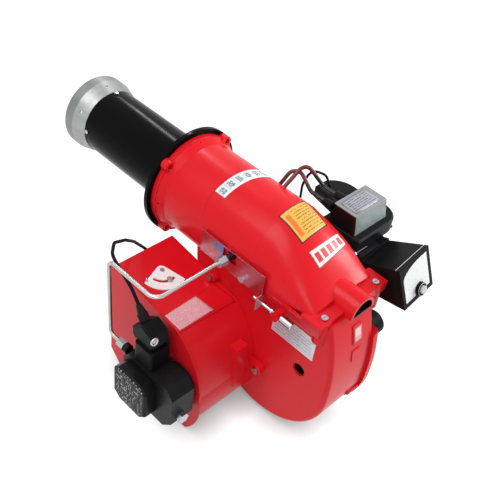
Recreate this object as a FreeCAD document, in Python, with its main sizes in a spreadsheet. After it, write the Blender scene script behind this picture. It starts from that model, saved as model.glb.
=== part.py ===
import FreeCAD, Part
import math
import os

os.makedirs("parts", exist_ok=True)
doc = FreeCAD.newDocument("diesel_burner")
V = FreeCAD.Vector

# Driving sizes in millimetres. The origin is the centre of the boiler-side flange face,
# +Y runs along the blast tube to the flame, +X points to the motor, +Z is up.
SIZES = {
    # fits
    "seat_gap": 0.3,
    "running_gap": 0.06,
    # blast tube and head
    "tube_radius": 57,
    "tube_wall": 2,
    "tube_front": 198,
    "cup_radius": 65.5,
    "cup_wall": 2.2,
    "cup_front": 245,
    "cup_cone_length": 26,
    "cup_lap": 16,
    "flange_radius": 92.3,
    "flange_thick": 8,
    "bolt_circle": 84,
    "bolt_hole": 4.5,
    "sink_circle": 78,
    # casing
    "duct_radius": 76,
    "casing_wall": 4,
    "casing_flange": 13,
    "rim_radius": 84,
    "lobe_radius": 10,
    "cover_front": 104,
    "scroll_front": 84,
    "parting": 11,
    "cover_rear": 354,
    "cover_shoulder": 215,
    "hood_radius": 25,
    "hood_bore": 20,
    "scroll_radius": 125,
    "scroll_back": 258,
    "scroll_down": 152,
    "scroll_left": 60,
    "scroll_right": 30,
    "shaft_back": 204,
    "shaft_down": 172,
    "eye_radius": 32,
    "plate_thick": 12,
    "plate_margin": 5,
    # fan and drive
    "fan_radius": 60,
    "fan_inner": 48,
    "fan_left": 42,
    "fan_width": 56,
    "fan_blades": 30,
    "blade_thick": 1.2,
    "shaft_radius": 6,
    "motor_radius": 72,
    "motor_length": 138,
    # intake box
    "box_left": 176,
    "box_wall": 3,
    "box_front": 36,
    "box_top": 66,
    "box_top_rear": 86,
    "box_top_depth": 150,
    "box_rear": 240,
    "box_bottom": 274,
    "end_plate": 2.5,
    "dial_x": 122,
    "dial_back": 84,
    # regulator on the left side
    "side_gap": 3,
    "bracket_thick": 1.5,
    "bracket_top": 16,
    "screw_drop": 33,
    "screw_radius": 3,
    # oil line
    "pipe_radius": 3,
    "pipe_x": 219,
    "port_down": 145,
    "line_back": 181,
    "line_rise": 5,
    "line_radius": 6,
    # electrics
    "tray_top": 24,
    "ht_radius": 3.2,
    "lead_radius": 2.6,
    "sensor_radius": 2,
    "box_drop": 34.6,
    "box_back": 298,
}

sheet = doc.addObject("Spreadsheet::Sheet", "sizes")
for row, (alias, value) in enumerate(SIZES.items(), start=1):
    sheet.set(f"A{row}", alias)
    sheet.set(f"B{row}", str(value))
    sheet.setAlias(f"B{row}", alias)
doc.recompute()


class SheetReader:
    """Reads a cell of the size sheet as a plain number."""

    def __getattr__(self, alias):
        return float(getattr(sheet, alias))


mm = SheetReader()
finished = []

# Distances from the axis: sheet brackets beside the duct, adjusting screw, push rod in the tube,
# oil union outside the cover; then the height of the push rod and the place of the cover's screws
SIDE = mm.duct_radius + mm.side_gap
SCREW_X = SIDE + 1
ROD_X = mm.tube_radius - 13
UNION_X = SIDE + 25
ROD_Z = -14
LUG_X = 57
LUG_Y = 9 - mm.cover_rear

# Turns that carry local Z to a world axis
ALONG = {
    "+X": FreeCAD.Rotation(V(0, 1, 0), 90),
    "-X": FreeCAD.Rotation(V(0, 1, 0), -90),
    "+Y": FreeCAD.Rotation(V(1, 0, 0), -90),
    "-Y": FreeCAD.Rotation(V(1, 0, 0), 90),
    "+Z": FreeCAD.Rotation(),
    "-Z": FreeCAD.Rotation(V(1, 0, 0), 180),
}


def finish(obj, label):
    """Names a sub-part and keeps it for export."""
    obj.Label = label
    finished.append(obj)
    return obj


def place(obj, x, y, z, along="+Z"):
    """Puts an object at a point with its local Z along a world axis."""
    turn = ALONG[along] if isinstance(along, str) else along
    obj.Placement = FreeCAD.Placement(V(x, y, z), turn)
    return obj


def rod(name, radius, length, at, along="+Z"):
    """A cylinder whose radius and length are expressions or numbers."""
    obj = doc.addObject("Part::Cylinder", name)
    set_size(obj, "Radius", radius)
    set_size(obj, "Height", length)
    return place(obj, *at, along)


def taper(name, first, second, length, at, along="+Z"):
    """A cone frustum."""
    obj = doc.addObject("Part::Cone", name)
    set_size(obj, "Radius1", first)
    set_size(obj, "Radius2", second)
    set_size(obj, "Height", length)
    return place(obj, *at, along)


def block(name, low, high):
    """A box between two corners."""
    obj = doc.addObject("Part::Box", name)
    obj.Length = high[0] - low[0]
    obj.Width = high[1] - low[1]
    obj.Height = high[2] - low[2]
    return place(obj, *low)


def hexagon(name, flats, length, at, along="+Z"):
    """A hexagonal prism across its flats."""
    obj = doc.addObject("Part::Prism", name)
    obj.Polygon = 6
    obj.Circumradius = flats / math.sqrt(3)
    obj.Height = length
    return place(obj, *at, along)


def set_size(obj, prop, value):
    if isinstance(value, str):
        obj.setExpression(prop, value)
    else:
        setattr(obj, prop, value)


def fuse(name, *shapes):
    obj = doc.addObject("Part::MultiFuse", name)
    obj.Shapes = list(shapes)
    return obj


def group(name, *shapes):
    obj = doc.addObject("Part::Compound", name)
    obj.Links = list(shapes)
    return obj


def cut(name, base, *tools):
    obj = doc.addObject("Part::Cut", name)
    obj.Base = base
    obj.Tool = tools[0] if len(tools) == 1 else fuse(name + "_tools", *tools)
    return obj


def common(name, first, second):
    obj = doc.addObject("Part::MultiCommon", name)
    obj.Shapes = [first, second]
    return obj


def origin_plane(body, role):
    return next(item for item in body.Origin.OriginFeatures if item.Role == role)


def draw(sketch, start, steps):
    """Draws a closed outline of lines and three-point arcs."""
    here = V(start[0], start[1], 0)
    first = here
    for step in steps:
        if step[0] == "arc":
            middle = V(step[1][0], step[1][1], 0)
            there = V(step[2][0], step[2][1], 0)
            sketch.addGeometry(Part.Arc(here, middle, there), False)
        else:
            there = V(step[0], step[1], 0)
            sketch.addGeometry(Part.LineSegment(here, there), False)
        here = there
    if here.distanceToPoint(first) > 1e-6:
        sketch.addGeometry(Part.LineSegment(here, first), False)


def new_sketch(body, role, offset):
    sketch = body.newObject("Sketcher::SketchObject", body.Name + "_sketch")
    sketch.AttachmentSupport = [(origin_plane(body, role), "")]
    sketch.MapMode = "FlatFace"
    if isinstance(offset, str):
        sketch.setExpression("AttachmentOffset.Base.z", offset)
    else:
        sketch.AttachmentOffset = FreeCAD.Placement(V(0, 0, offset), FreeCAD.Rotation())
    return sketch


def pad(body, role, offset, start, steps, length):
    """Pads an outline along the plane's normal."""
    sketch = new_sketch(body, role, offset)
    draw(sketch, start, steps)
    feature = body.newObject("PartDesign::Pad", body.Name + "_pad")
    feature.Profile = sketch
    set_size(feature, "Length", length)
    doc.recompute()
    return feature


def circles(sketch, spots):
    """Adds circles (u, v, radius) to a sketch."""
    for u, v, radius in spots:
        sketch.addGeometry(Part.Circle(V(u, v, 0), V(0, 0, 1), radius), False)


def pad_circles(body, role, offset, spots, length):
    sketch = new_sketch(body, role, offset)
    circles(sketch, spots)
    feature = body.newObject("PartDesign::Pad", body.Name + "_disc")
    feature.Profile = sketch
    set_size(feature, "Length", length)
    doc.recompute()
    return feature


def pocket(body, role, offset, length, spots=(), start=None, steps=()):
    """Cuts circles or an outline along the plane's normal, and checks that it cut."""
    doc.recompute()
    before = body.Shape.Volume
    sketch = new_sketch(body, role, offset)
    circles(sketch, spots)
    if start:
        draw(sketch, start, steps)
    feature = body.newObject("PartDesign::Pocket", body.Name + "_cut")
    feature.Profile = sketch
    feature.Reversed = True
    set_size(feature, "Length", length)
    doc.recompute()
    if body.Shape.Volume > before - 1e-3:
        raise RuntimeError(f"{body.Name}: a pocket cut nothing")
    return feature


def new_body(name):
    return doc.addObject("PartDesign::Body", name)


def turned(name, start, steps, at=(0, 0, 0), along="+Z"):
    """Revolves an (axial, radial) outline about local Z."""
    body = new_body(name)
    sketch = new_sketch(body, "XZ_Plane", 0)
    outline_start = (start[1], start[0])
    flipped = []
    for step in steps:
        if step[0] == "arc":
            flipped.append(("arc", (step[1][1], step[1][0]), (step[2][1], step[2][0])))
        else:
            flipped.append((step[1], step[0]))
    draw(sketch, outline_start, flipped)
    spin = body.newObject("PartDesign::Revolution", name + "_turn")
    spin.Profile = sketch
    spin.ReferenceAxis = (sketch, ["V_Axis"])
    spin.Angle = 360
    doc.recompute()
    return place(body, *at, along)


def fillet(body, radius, picks):
    """Rounds the edges of a body that a test picks out."""
    doc.recompute()
    tip = body.Tip
    names = [f"Edge{i}" for i, edge in enumerate(tip.Shape.Edges, start=1) if picks(edge)]
    feature = body.newObject("PartDesign::Fillet", body.Name + "_round")
    feature.Base = (tip, names)
    feature.Radius = radius
    doc.recompute()
    return feature


def chamfer(body, size, picks):
    """Bevels the edges of a body that a test picks out."""
    doc.recompute()
    tip = body.Tip
    names = [f"Edge{i}" for i, edge in enumerate(tip.Shape.Edges, start=1) if picks(edge)]
    feature = body.newObject("PartDesign::Chamfer", body.Name + "_bevel")
    feature.Base = (tip, names)
    feature.Size = size
    doc.recompute()
    return feature


def on_level(axis, value, reach=0.01):
    """Picks edges that lie whole at one level of an axis."""
    def test(edge):
        box = edge.BoundBox
        low = {"x": box.XMin, "y": box.YMin, "z": box.ZMin}[axis]
        high = {"x": box.XMax, "y": box.YMax, "z": box.ZMax}[axis]
        return abs(low - value) < reach and abs(high - value) < reach
    return test


def outer_edge(axis, value):
    """Picks the edges at one level that go round the whole body."""
    level = on_level(axis, value)

    def test(edge):
        return level(edge) and edge.BoundBox.DiagonalLength > 100
    return test


def along_axis(axis, least=1.0):
    """Picks straight edges that run along one axis."""
    def test(edge):
        if edge.Length < least or len(edge.Vertexes) < 2:
            return False
        run = edge.Vertexes[-1].Point - edge.Vertexes[0].Point
        return abs(getattr(run, axis)) > 0.99 * edge.Length
    return test


def bent_tube(name, points, radius, bends):
    """A round tube along straight runs joined by tangent arcs; prints radii and volume."""
    spots = [V(*point) for point in points]
    edges = []
    here = spots[0]
    for before, corner, after, bend in zip(spots, spots[1:], spots[2:], bends):
        into = (corner - before).normalize()
        out = (after - corner).normalize()
        turn = into.getAngle(out)
        shorter = min((corner - before).Length, (after - corner).Length)
        limit = 0.45 * shorter / math.tan(turn / 2)
        reach = min(bend, limit) if bend else limit
        setback = reach * math.tan(turn / 2)
        enter = corner - into * setback
        leave = corner + out * setback
        inward = (out - into).normalize()
        centre = corner + inward * (reach / math.cos(turn / 2))
        middle = centre - inward * reach
        edges.append(Part.LineSegment(here, enter).toShape())
        edges.append(Part.Arc(enter, middle, leave).toShape())
        here = leave
        print(f"{name}: bend radius {reach:.1f}")
    edges.append(Part.LineSegment(here, spots[-1]).toShape())
    path = Part.Wire(edges)
    start_dir = (spots[1] - spots[0]).normalize()
    section = Part.Wire([Part.Circle(spots[0], start_dir, radius).toShape()])
    solid = path.makePipeShell([section], True, False)
    expected = math.pi * radius ** 2 * path.Length
    print(f"{name}: length {path.Length:.0f}, volume ratio {solid.Volume / expected:.4f}")
    obj = doc.addObject("Part::Feature", name)
    obj.Shape = solid
    return obj


def polar(radius, degrees):
    turn = math.radians(degrees)
    return radius * math.cos(turn), radius * math.sin(turn)


def rod_between(name, radius, start, end):
    """A cylinder from one point to another."""
    first = V(*start)
    run = V(*end) - first
    obj = doc.addObject("Part::Cylinder", name)
    set_size(obj, "Radius", radius)
    obj.Height = run.Length
    obj.Placement = FreeCAD.Placement(first, FreeCAD.Rotation(V(0, 0, 1), run))
    return obj


def loft(name, low, low_level, high, high_level):
    """A body lofted between two rectangles (x0, y0, x1, y1) at two heights."""
    body = new_body(name)
    sections = []
    for level, (x0, y0, x1, y1) in ((low_level, low), (high_level, high)):
        sketch = new_sketch(body, "XY_Plane", level)
        draw(sketch, (x0, y0), [(x1, y0), (x1, y1), (x0, y1)])
        sections.append(sketch)
    feature = body.newObject("PartDesign::AdditiveLoft", name + "_loft")
    feature.Profile = sections[0]
    feature.Sections = sections[1:]
    feature.Ruled = True
    doc.recompute()
    return body


# Blast tube: black painted steel tube with the flange plate welded behind it
def make_tube():
    length = "sizes.tube_front + sizes.flange_thick"
    base = (0, -mm.flange_thick, 0)
    skin = rod("tube_skin", "sizes.tube_radius", length, base, "+Y")
    bore = rod("tube_bore", "sizes.tube_radius - sizes.tube_wall", length, base, "+Y")
    finish(cut("tube", skin, bore), "blast_tube")

    plate = new_body("plate")
    pad_circles(plate, "XY_Plane", 0, [(0, 0, mm.flange_radius)], "sizes.flange_thick")
    holes = [(0, 0, mm.tube_radius)]
    holes += [(*polar(mm.bolt_circle, 45 + 90 * turn), mm.bolt_hole) for turn in range(4)]
    pocket(plate, "XY_Plane", 0, "sizes.flange_thick", spots=holes)
    chamfer(plate, 1.0, outer_edge("z", mm.flange_thick))
    place(plate, 0, -mm.flange_thick, 0, "+Y")
    sinks = []
    screws = []
    for turn in range(4):
        x, z = polar(mm.sink_circle, 90 * turn)
        sinks.append(taper(f"sink{turn}", 5.2, 2.8, 3, (x, 0, z), "-Y"))
        sinks.append(rod(f"sink_bore{turn}", 2.8, 20, (x, 0, z), "-Y"))
        head = taper(f"sink_head{turn}", 4.8, 2.5, 2.8, (x, -0.1, z), "-Y")
        shank = rod(f"sink_shank{turn}", 2.5, 19, (x, -1, z), "-Y")
        screws.append(fuse(f"sink_screw{turn}", head, shank))
    finish(cut("plate_drilled", plate, *sinks), "tube_flange")
    finish(group("sink_screws", *screws), "flange_screws")


# Combustion head cup: spun steel, slipped into the tube end and flared to the flame
def make_cup():
    lap = mm.tube_front - mm.cup_lap
    sleeve = mm.tube_radius - mm.tube_wall - mm.seat_gap
    start = mm.tube_front + mm.seat_gap
    flare = start + mm.cup_cone_length
    wall = mm.cup_wall
    neck = mm.tube_radius + 1.2
    cup = turned("cup", (lap, sleeve - wall), [
        (lap, sleeve), (start, sleeve), (start, neck), (flare, mm.cup_radius),
        (mm.cup_front - 2, mm.cup_radius), (mm.cup_front, mm.cup_radius - 1),
        (mm.cup_front, mm.cup_radius - wall), (flare, mm.cup_radius - wall),
        (start + 3, neck - wall), (start - 1, sleeve - wall)], (0, 0, 0), "+Y")
    slots = []
    for turn in range(6):
        x, z = polar(mm.cup_radius - 12, 30 + 60 * turn)
        far_x, far_z = polar(mm.cup_radius + 8, 30 + 60 * turn)
        slots.append(rod_between(f"cup_slot{turn}", 2.2, (x, start + 15, z), (far_x, start + 15, far_z)))
    finish(cut("cup_slotted", cup, *slots), "flame_cup")

    screws = []
    for turn in range(4):
        angle = 85 + 90 * turn
        x, z = polar(mm.tube_radius + mm.seat_gap, angle)
        far_x, far_z = polar(mm.tube_radius + mm.seat_gap + 2.2, angle)
        screws.append(rod_between(f"cup_screw{turn}", 3.5, (x, mm.tube_front - 6, z),
                                  (far_x, mm.tube_front - 6, far_z)))
    finish(group("cup_screw_set", *screws), "cup_screws")


def scroll_outline(grow, lip=6):
    """Outline of the scroll in (y, z), offset outward by grow; lip is its reach behind the duct."""
    yc = -mm.scroll_back
    zc = -mm.scroll_down
    r = mm.scroll_radius + grow
    front_y, front_z = polar(r, 12)
    mid_y, mid_z = polar(r, 6)
    start = (-mm.scroll_front - 2 + grow, -mm.parting)
    steps = [
        (-mm.cover_rear - lip - grow, -mm.parting),
        ("arc", (-mm.cover_rear - 24 - grow, zc / 2), (yc - r, zc)),
        ("arc", (yc, zc - r), (yc + r, zc)),
        ("arc", (yc + mid_y, zc + mid_z), (yc + front_y, zc + front_z)),
        (-mm.scroll_front - 8 + grow, -mm.duct_radius),
    ]
    return start, steps


def plate_screw_spots():
    """(y, z) of the screws round the motor plate."""
    spots = []
    for degrees in (10, 150, 195, 240, 282):
        y, z = polar(mm.scroll_radius - 1.5, degrees)
        spots.append((y - mm.scroll_back, z - mm.scroll_down))
    return spots


def ear_spots():
    """(y, z) of the ears that hold the intake box to the casing; the first stands on its top."""
    front = -140
    fall = (mm.box_top_rear - mm.box_top) * (-front - mm.box_front) / mm.box_top_depth
    return [(front, 7.9 - mm.box_top - fall), (-258, -184)]


def leg_spots():
    """(y, z) of the two casing bosses that carry the electrics bracket."""
    return [(-232, -30), (-278, -30)]


def heel(name, shift):
    """Wedge that bevels the lower rear corner of the duct."""
    rear = -mm.cover_rear - 1 + shift
    body = new_body(name)
    pad(body, "YZ_Plane", -100, (rear, -14 + shift), [
        (rear, -90), (rear + 61, -90), (rear + 35, -60 + shift), (rear + 7, -40 + shift)], 200)
    return body


def cover_space(name, back):
    """The block of space over the parting face, with the cover's rounded lower front corner."""
    front = -mm.cover_front - back
    level = -mm.parting
    width = 2 * mm.duct_radius + 60
    body = new_body(name)
    pad(body, "YZ_Plane", -width / 2, (front, width), [
        (front, level + 63), ("arc", (front - 9, level + 33), (front - 29, level)),
        (-mm.cover_rear - 20, level), (-mm.cover_rear - 20, width)], width)
    return body


def raised_pad(name, x_low, x_high, z_low, z_high):
    """A cast pad that stands 1.5 mm proud of the scroll's rear."""
    body = new_body(name)
    start, steps = scroll_outline(1.5)
    pad(body, "YZ_Plane", x_low, start, steps, x_high - x_low)
    return common(name + "_trim", body, block(name + "_box", (x_low, -450, z_low), (x_high, -300, z_high)))


# Fan casing: the red casting with boiler flange, neck, open-topped duct and fan scroll
def make_casing():
    wall = mm.casing_wall
    face = -mm.flange_thick - mm.seat_gap
    left = -mm.scroll_left
    duct = rod("duct", "sizes.duct_radius", mm.cover_rear + face, (0, face, 0), "-Y")
    duct_open = cut("duct_open", duct, cover_space("duct_top", 0), heel("duct_heel", 0))

    scroll = new_body("scroll")
    start, steps = scroll_outline(0)
    pad(scroll, "YZ_Plane", "-sizes.scroll_left", start, steps, "sizes.scroll_left + sizes.scroll_right")
    fillet(scroll, 7.0, on_level("x", left))

    flange = new_body("casing_flange")
    pad_circles(flange, "XZ_Plane", mm.flange_thick + mm.seat_gap,
                [(0, 0, mm.rim_radius)], "sizes.casing_flange - 4")
    lobes = []
    for turn in range(4):
        x, z = polar(mm.bolt_circle - 2, 45 + 90 * turn)
        lobes.append(rod(f"lobe{turn}", "sizes.lobe_radius", "sizes.casing_flange", (x, face, z), "-Y"))
    fairing = taper("fairing", "sizes.rim_radius - 1", "sizes.duct_radius", 14, (0, face - 8, 0), "-Y")

    lug = rod("screw_lug", 7, SCREW_X + 6 + left, (left - 2, -283, -mm.screw_drop), "-X")
    seats = [rod(f"cover_seat{side + 1}", 11, 36, (side * LUG_X, LUG_Y, -mm.parting), "-Z") for side in (-1, 1)]
    pads = [raised_pad("rear_pad_long", -14, 6, -62, -30), raised_pad("rear_pad_short", -14, 4, -94, -74)]
    solid = fuse("casing_outer", duct_open, scroll, flange, fairing, *lobes, lug, *seats, *pads)

    inner = cut("duct_bore", rod("duct_bore_full", "sizes.duct_radius - sizes.casing_wall",
                                 mm.cover_rear - mm.cover_front - wall, (0, -mm.cover_front, 0), "-Y"),
                heel("bore_heel", wall))
    seat_keep = [rod(f"seat_keep{side + 1}", 11, 60, (side * LUG_X, LUG_Y, -mm.parting + 1), "-Z")
                 for side in (-1, 1)]
    inner = cut("duct_bore_clear", inner, *seat_keep)
    neck = rod("neck_bore", "sizes.duct_radius - sizes.casing_wall", "sizes.cover_front + 1", (0, 0, 0), "-Y")
    cavity = new_body("scroll_cavity")
    start, steps = scroll_outline(-wall, 0)
    pad(cavity, "YZ_Plane", "-sizes.scroll_left + sizes.casing_wall", start, steps,
        "sizes.scroll_left - sizes.casing_wall + sizes.scroll_right")
    hollow = cut("casing_hollow", solid, inner, neck, cavity)

    bosses = [block("rod_guide", (2 - mm.duct_radius, -44, ROD_Z - 6), (5 - ROD_X, -34, ROD_Z + 6))]
    bores = [rod("rod_guide_bore", "sizes.screw_radius + sizes.running_gap", 20, (-ROD_X, -30, ROD_Z), "-Y")]
    for number, (y, z) in enumerate(plate_screw_spots()):
        bosses.append(rod(f"plate_boss{number}", 6, 24, (mm.scroll_right, y, z), "-X"))
        bores.append(rod(f"plate_thread{number}", 2.75, 13, (mm.scroll_right + 1, y, z), "-X"))
    for number, (y, z) in enumerate(ear_spots()):
        bosses.append(rod(f"ear_boss{number}", 7, 12, (left, y, z), "+X"))
        bores.append(rod(f"ear_thread{number}", 2.75, 11, (left - 1, y, z), "+X"))
    for number, (y, z) in enumerate(leg_spots()):
        bosses.append(rod(f"leg_boss{number}", 8, 13 - mm.seat_gap, (SIDE - 13, y, z), "+X"))
        bores.append(rod(f"leg_thread{number}", 2.75, 30, (SIDE - 24, y, z), "+X"))
    filled = fuse("casing_filled", hollow, *bosses)

    bores.append(rod("eye", "sizes.eye_radius", 20, (left - 10, -mm.shaft_back, -mm.shaft_down), "+X"))
    bores.append(rod("peep_hole", 11, 20, (left - 10, -326, -128), "+X"))
    for turn in range(4):
        x, z = polar(mm.bolt_circle, 45 + 90 * turn)
        bores.append(rod(f"casing_bolt{turn}", "sizes.bolt_hole", 40, (x, 5, z), "-Y"))
        x, z = polar(mm.sink_circle, 90 * turn)
        bores.append(rod(f"sink_thread{turn}", 2.6, 20, (x, -2, z), "-Y"))
    for side in (-1, 1):
        bores.append(rod(f"seat_thread{side + 1}", 2.6, 28, (side * LUG_X, LUG_Y, 0), "-Z"))
    bores.append(block("slider_slot", (-SIDE, -222.5, ROD_Z - 3.4), (-SIDE + 19, -201.5, 0)))
    bores.append(rod("lug_bore", "sizes.screw_radius + sizes.running_gap", 30,
                     (-SCREW_X, -268, -mm.screw_drop), "-Y"))
    finish(cut("casing_bored", filled, *bores), "fan_casing")


def arch_section(y, radius, floor):
    """The cover's plain cross-section: an arc over a flat floor."""
    half = math.sqrt(radius ** 2 - floor ** 2)
    arc = Part.Arc(V(-half, y, floor), V(0, y, radius), V(half, y, floor)).toShape()
    return Part.Wire([arc, Part.LineSegment(V(half, y, floor), V(-half, y, floor)).toShape()])


def tail_section(y, half, top, floor, power):
    """A squared arch of the cover's tail; a higher power gives fuller corners."""
    points = []
    for step in range(13):
        turn = math.pi * (1 - step / 12)
        across = math.copysign(abs(math.cos(turn)) ** (2 / power), math.cos(turn))
        up = abs(math.sin(turn)) ** (2 / power)
        points.append(V(half * across, y, floor + (top - floor) * up))
    curve = Part.BSplineCurve()
    curve.interpolate(points)
    return Part.Wire([curve.toShape(), Part.LineSegment(points[-1], points[0]).toShape()])


# Tail sections of the cover: distance behind the shoulder, how much narrower and lower
# than the duct, and the power of the arch
TAIL = [(25, 1, 6, 2.1), (55, 2.5, 21, 2.3), (80, 5, 38, 2.4), (100, 8, 56, 2.4), (118, 11, 72, 2.4)]


def cover_solid(name, inset, front):
    """The cover's arch and its falling tail, inset by a wall."""
    radius = mm.duct_radius - inset
    floor = mm.seat_gap - mm.parting - (1 if inset else 0)
    shoulder = -mm.cover_shoulder
    arch = doc.addObject("Part::Feature", name + "_arch")
    arch.Shape = Part.Face(arch_section(-front, radius, floor)).extrude(V(0, shoulder + front, 0))
    sections = [arch_section(shoulder, radius, floor)]
    for number, (back, narrower, lower, power) in enumerate(TAIL, start=1):
        y = shoulder - back + (inset if number == len(TAIL) else 0)
        sections.append(tail_section(y, radius - narrower, radius - lower, floor, power))
    tail = doc.addObject("Part::Feature", name + "_tail")
    tail.Shape = Part.makeLoft(sections, True, False)
    low = lug_top() - inset * 3
    notches = [rod(f"{name}_notch{side + 1}", 13 + inset, 120, (side * LUG_X, LUG_Y, low), "+Z")
               for side in (-1, 1)]
    return cut(name + "_shaped", fuse(name + "_whole", arch, tail), *notches)


def lug_top():
    return -mm.parting + mm.seat_gap + 6.7


# Height of the hood's axis over the tube's axis
HOOD_Z = -8


# Top cover: the red casting that closes the duct, with rear lugs and a peep-window hood
def make_cover():
    gap = mm.seat_gap
    floor = gap - mm.parting
    outer = common("cover_outer_trim", cover_solid("cover_outer", 0, mm.cover_front + gap),
                   cover_space("cover_corner", gap))
    ledge = common("rear_ledge", rod("ledge_round", "sizes.duct_radius", 60, (0, 60 - mm.cover_rear, 0), "-Y"),
                   block("ledge_block", (-mm.duct_radius, -mm.cover_rear, floor),
                         (mm.duct_radius, 36 - mm.cover_rear, lug_top())))
    lugs = [rod(f"cover_lug{side + 1}", 11, 6.7, (side * LUG_X, LUG_Y, floor), "+Z") for side in (-1, 1)]
    hood = cut("hood_top", rod("hood", "sizes.hood_radius", 78, (0, -290, HOOD_Z), "-Y"),
               block("hood_low", (-60, -400, -60), (60, -280, floor)))
    shell = fuse("cover_shell", outer, ledge, hood, *lugs)
    inner = cover_solid("cover_inner", mm.casing_wall, mm.cover_front - 2)
    bore = cut("hood_bore_top", rod("hood_mouth", "sizes.hood_bore", 70, (0, -310, HOOD_Z), "-Y"),
               block("hood_floor", (-60, -420, -60), (60, -290, floor + 2.5)))
    holes = [rod(f"lug_hole{side + 1}", 2.8, 30, (side * LUG_X, LUG_Y, -20), "+Z") for side in (-1, 1)]
    union_hole = rod("cover_union_hole", 8, 40, (4 - UNION_X, -mm.line_back, mm.line_rise), "+X")
    leads = [rod_between(f"lead_hole{number}", "sizes.ht_radius + 1.2", points[2], points[3])
             for number, points in enumerate(lead_points())]
    finish(cut("cover_hollow", shell, inner, bore, union_hole, *holes, *leads), "top_cover")

    glass = cut("glass_top", rod("glass", "sizes.hood_bore - sizes.seat_gap", 3, (0, -348, HOOD_Z), "-Y"),
                block("glass_low", (-30, -380, -60), (30, -300, floor + 2.8)))
    finish(glass, "peep_window")


# Sheet thickness of the electrics bracket
SHEET = 2.5


def hex_screw(name, at, along, back):
    """An M5 hexagon screw: head along one way, shank the other."""
    head = hexagon(name + "_head", 10, 4, at, along)
    shank = rod(name + "_shank", 2.5, 20, at, back)
    return fuse(name, head, shank)


def slotted_screw(name, x, y, level):
    """An M5 slotted screw that stands upright, its head over a level."""
    head = rod(name + "_head", 5, 3.4, (x, y, level), "+Z")
    shank = rod(name + "_shank", 2.4, 24, (x, y, level), "-Z")
    slot = block(name + "_slot", (x - 6, y - 0.7, level + 2), (x + 6, y + 0.7, level + 5))
    return cut(name, fuse(name + "_body", head, shank), slot)


def motor_face():
    """X of the motor plate's outer face."""
    return mm.scroll_right + mm.seat_gap + mm.plate_thick


# Motor plate: red casting that closes the scroll on the motor side, and all the case's M5 screws
def make_motor_plate():
    plate = new_body("motor_plate_body")
    start, steps = scroll_outline(mm.plate_margin)
    pad(plate, "YZ_Plane", "sizes.scroll_right + sizes.seat_gap", start, steps, "sizes.plate_thick")
    chamfer(plate, 2.0, on_level("x", motor_face()))
    clear = rod("plate_duct_clear", "sizes.duct_radius + sizes.seat_gap", 400, (0, -60, 0), "-Y")
    bores = [rod("plate_bore", 18, 40, (20, -mm.shaft_back, -mm.shaft_down), "+X")]
    for number, (y, z) in enumerate(plate_screw_spots()):
        bores.append(rod(f"plate_bore{number}", 2.75, 40, (20, y, z), "+X"))
    finish(cut("motor_plate_cut", plate, clear, *bores), "motor_plate")

    gap = mm.seat_gap
    screws = []
    for number, (y, z) in enumerate(plate_screw_spots()):
        screws.append(hex_screw(f"plate_screw{number}", (motor_face() + gap, y, z), "+X", "-X"))
    for number, (y, z) in enumerate(ear_spots()):
        screws.append(hex_screw(f"ear_screw{number}", (-mm.scroll_left - 12 - 2 * gap, y, z), "-X", "+X"))
    for number, (y, z) in enumerate(leg_spots()):
        screws.append(hex_screw(f"leg_screw{number}", (SIDE + SHEET + gap, y, z), "+X", "-X"))
    for side in (-1, 1):
        screws.append(slotted_screw(f"cover_screw{side + 1}", side * LUG_X, LUG_Y, lug_top() + gap))
    finish(group("case_screw_set", *screws), "case_screws")


# Fan: forward-curved blades between a back disc and a front ring, on a hub
def make_fan():
    left = -mm.fan_left
    right = left + mm.fan_width
    outer = mm.fan_radius
    inner = mm.fan_inner
    fan = new_body("fan")
    pad_circles(fan, "YZ_Plane", right - 2, [(0, 0, outer)], 2)
    pad_circles(fan, "YZ_Plane", right - 22, [(0, 0, 14)], 30)
    turn = mm.blade_thick / outer * 57.3
    blade = pad(fan, "YZ_Plane", left + 1, polar(inner, 0), [
        ("arc", polar((inner + outer) / 2, 1.5), polar(outer - 0.4, 8)),
        polar(outer - 0.4, 8 + turn),
        ("arc", polar((inner + outer) / 2, 1.5 + turn), polar(inner, turn))], mm.fan_width - 2)
    pattern = fan.newObject("PartDesign::PolarPattern", "fan_blades")
    pattern.Originals = [blade]
    pattern.Axis = (origin_plane(fan, "X_Axis"), [""])
    pattern.Angle = 360
    pattern.setExpression("Occurrences", "sizes.fan_blades")
    fan.Tip = pattern
    doc.recompute()
    ring = new_sketch(fan, "YZ_Plane", left)
    circles(ring, [(0, 0, outer), (0, 0, inner + 5)])
    rim = fan.newObject("PartDesign::Pad", "fan_front_ring")
    rim.Profile = ring
    rim.Length = 2.5
    doc.recompute()
    pocket(fan, "YZ_Plane", right - 30, 50, spots=[(0, 0, mm.shaft_radius + 0.02)])
    place(fan, 0, -mm.shaft_back, -mm.shaft_down)
    finish(fan, "fan_impeller")


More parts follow.
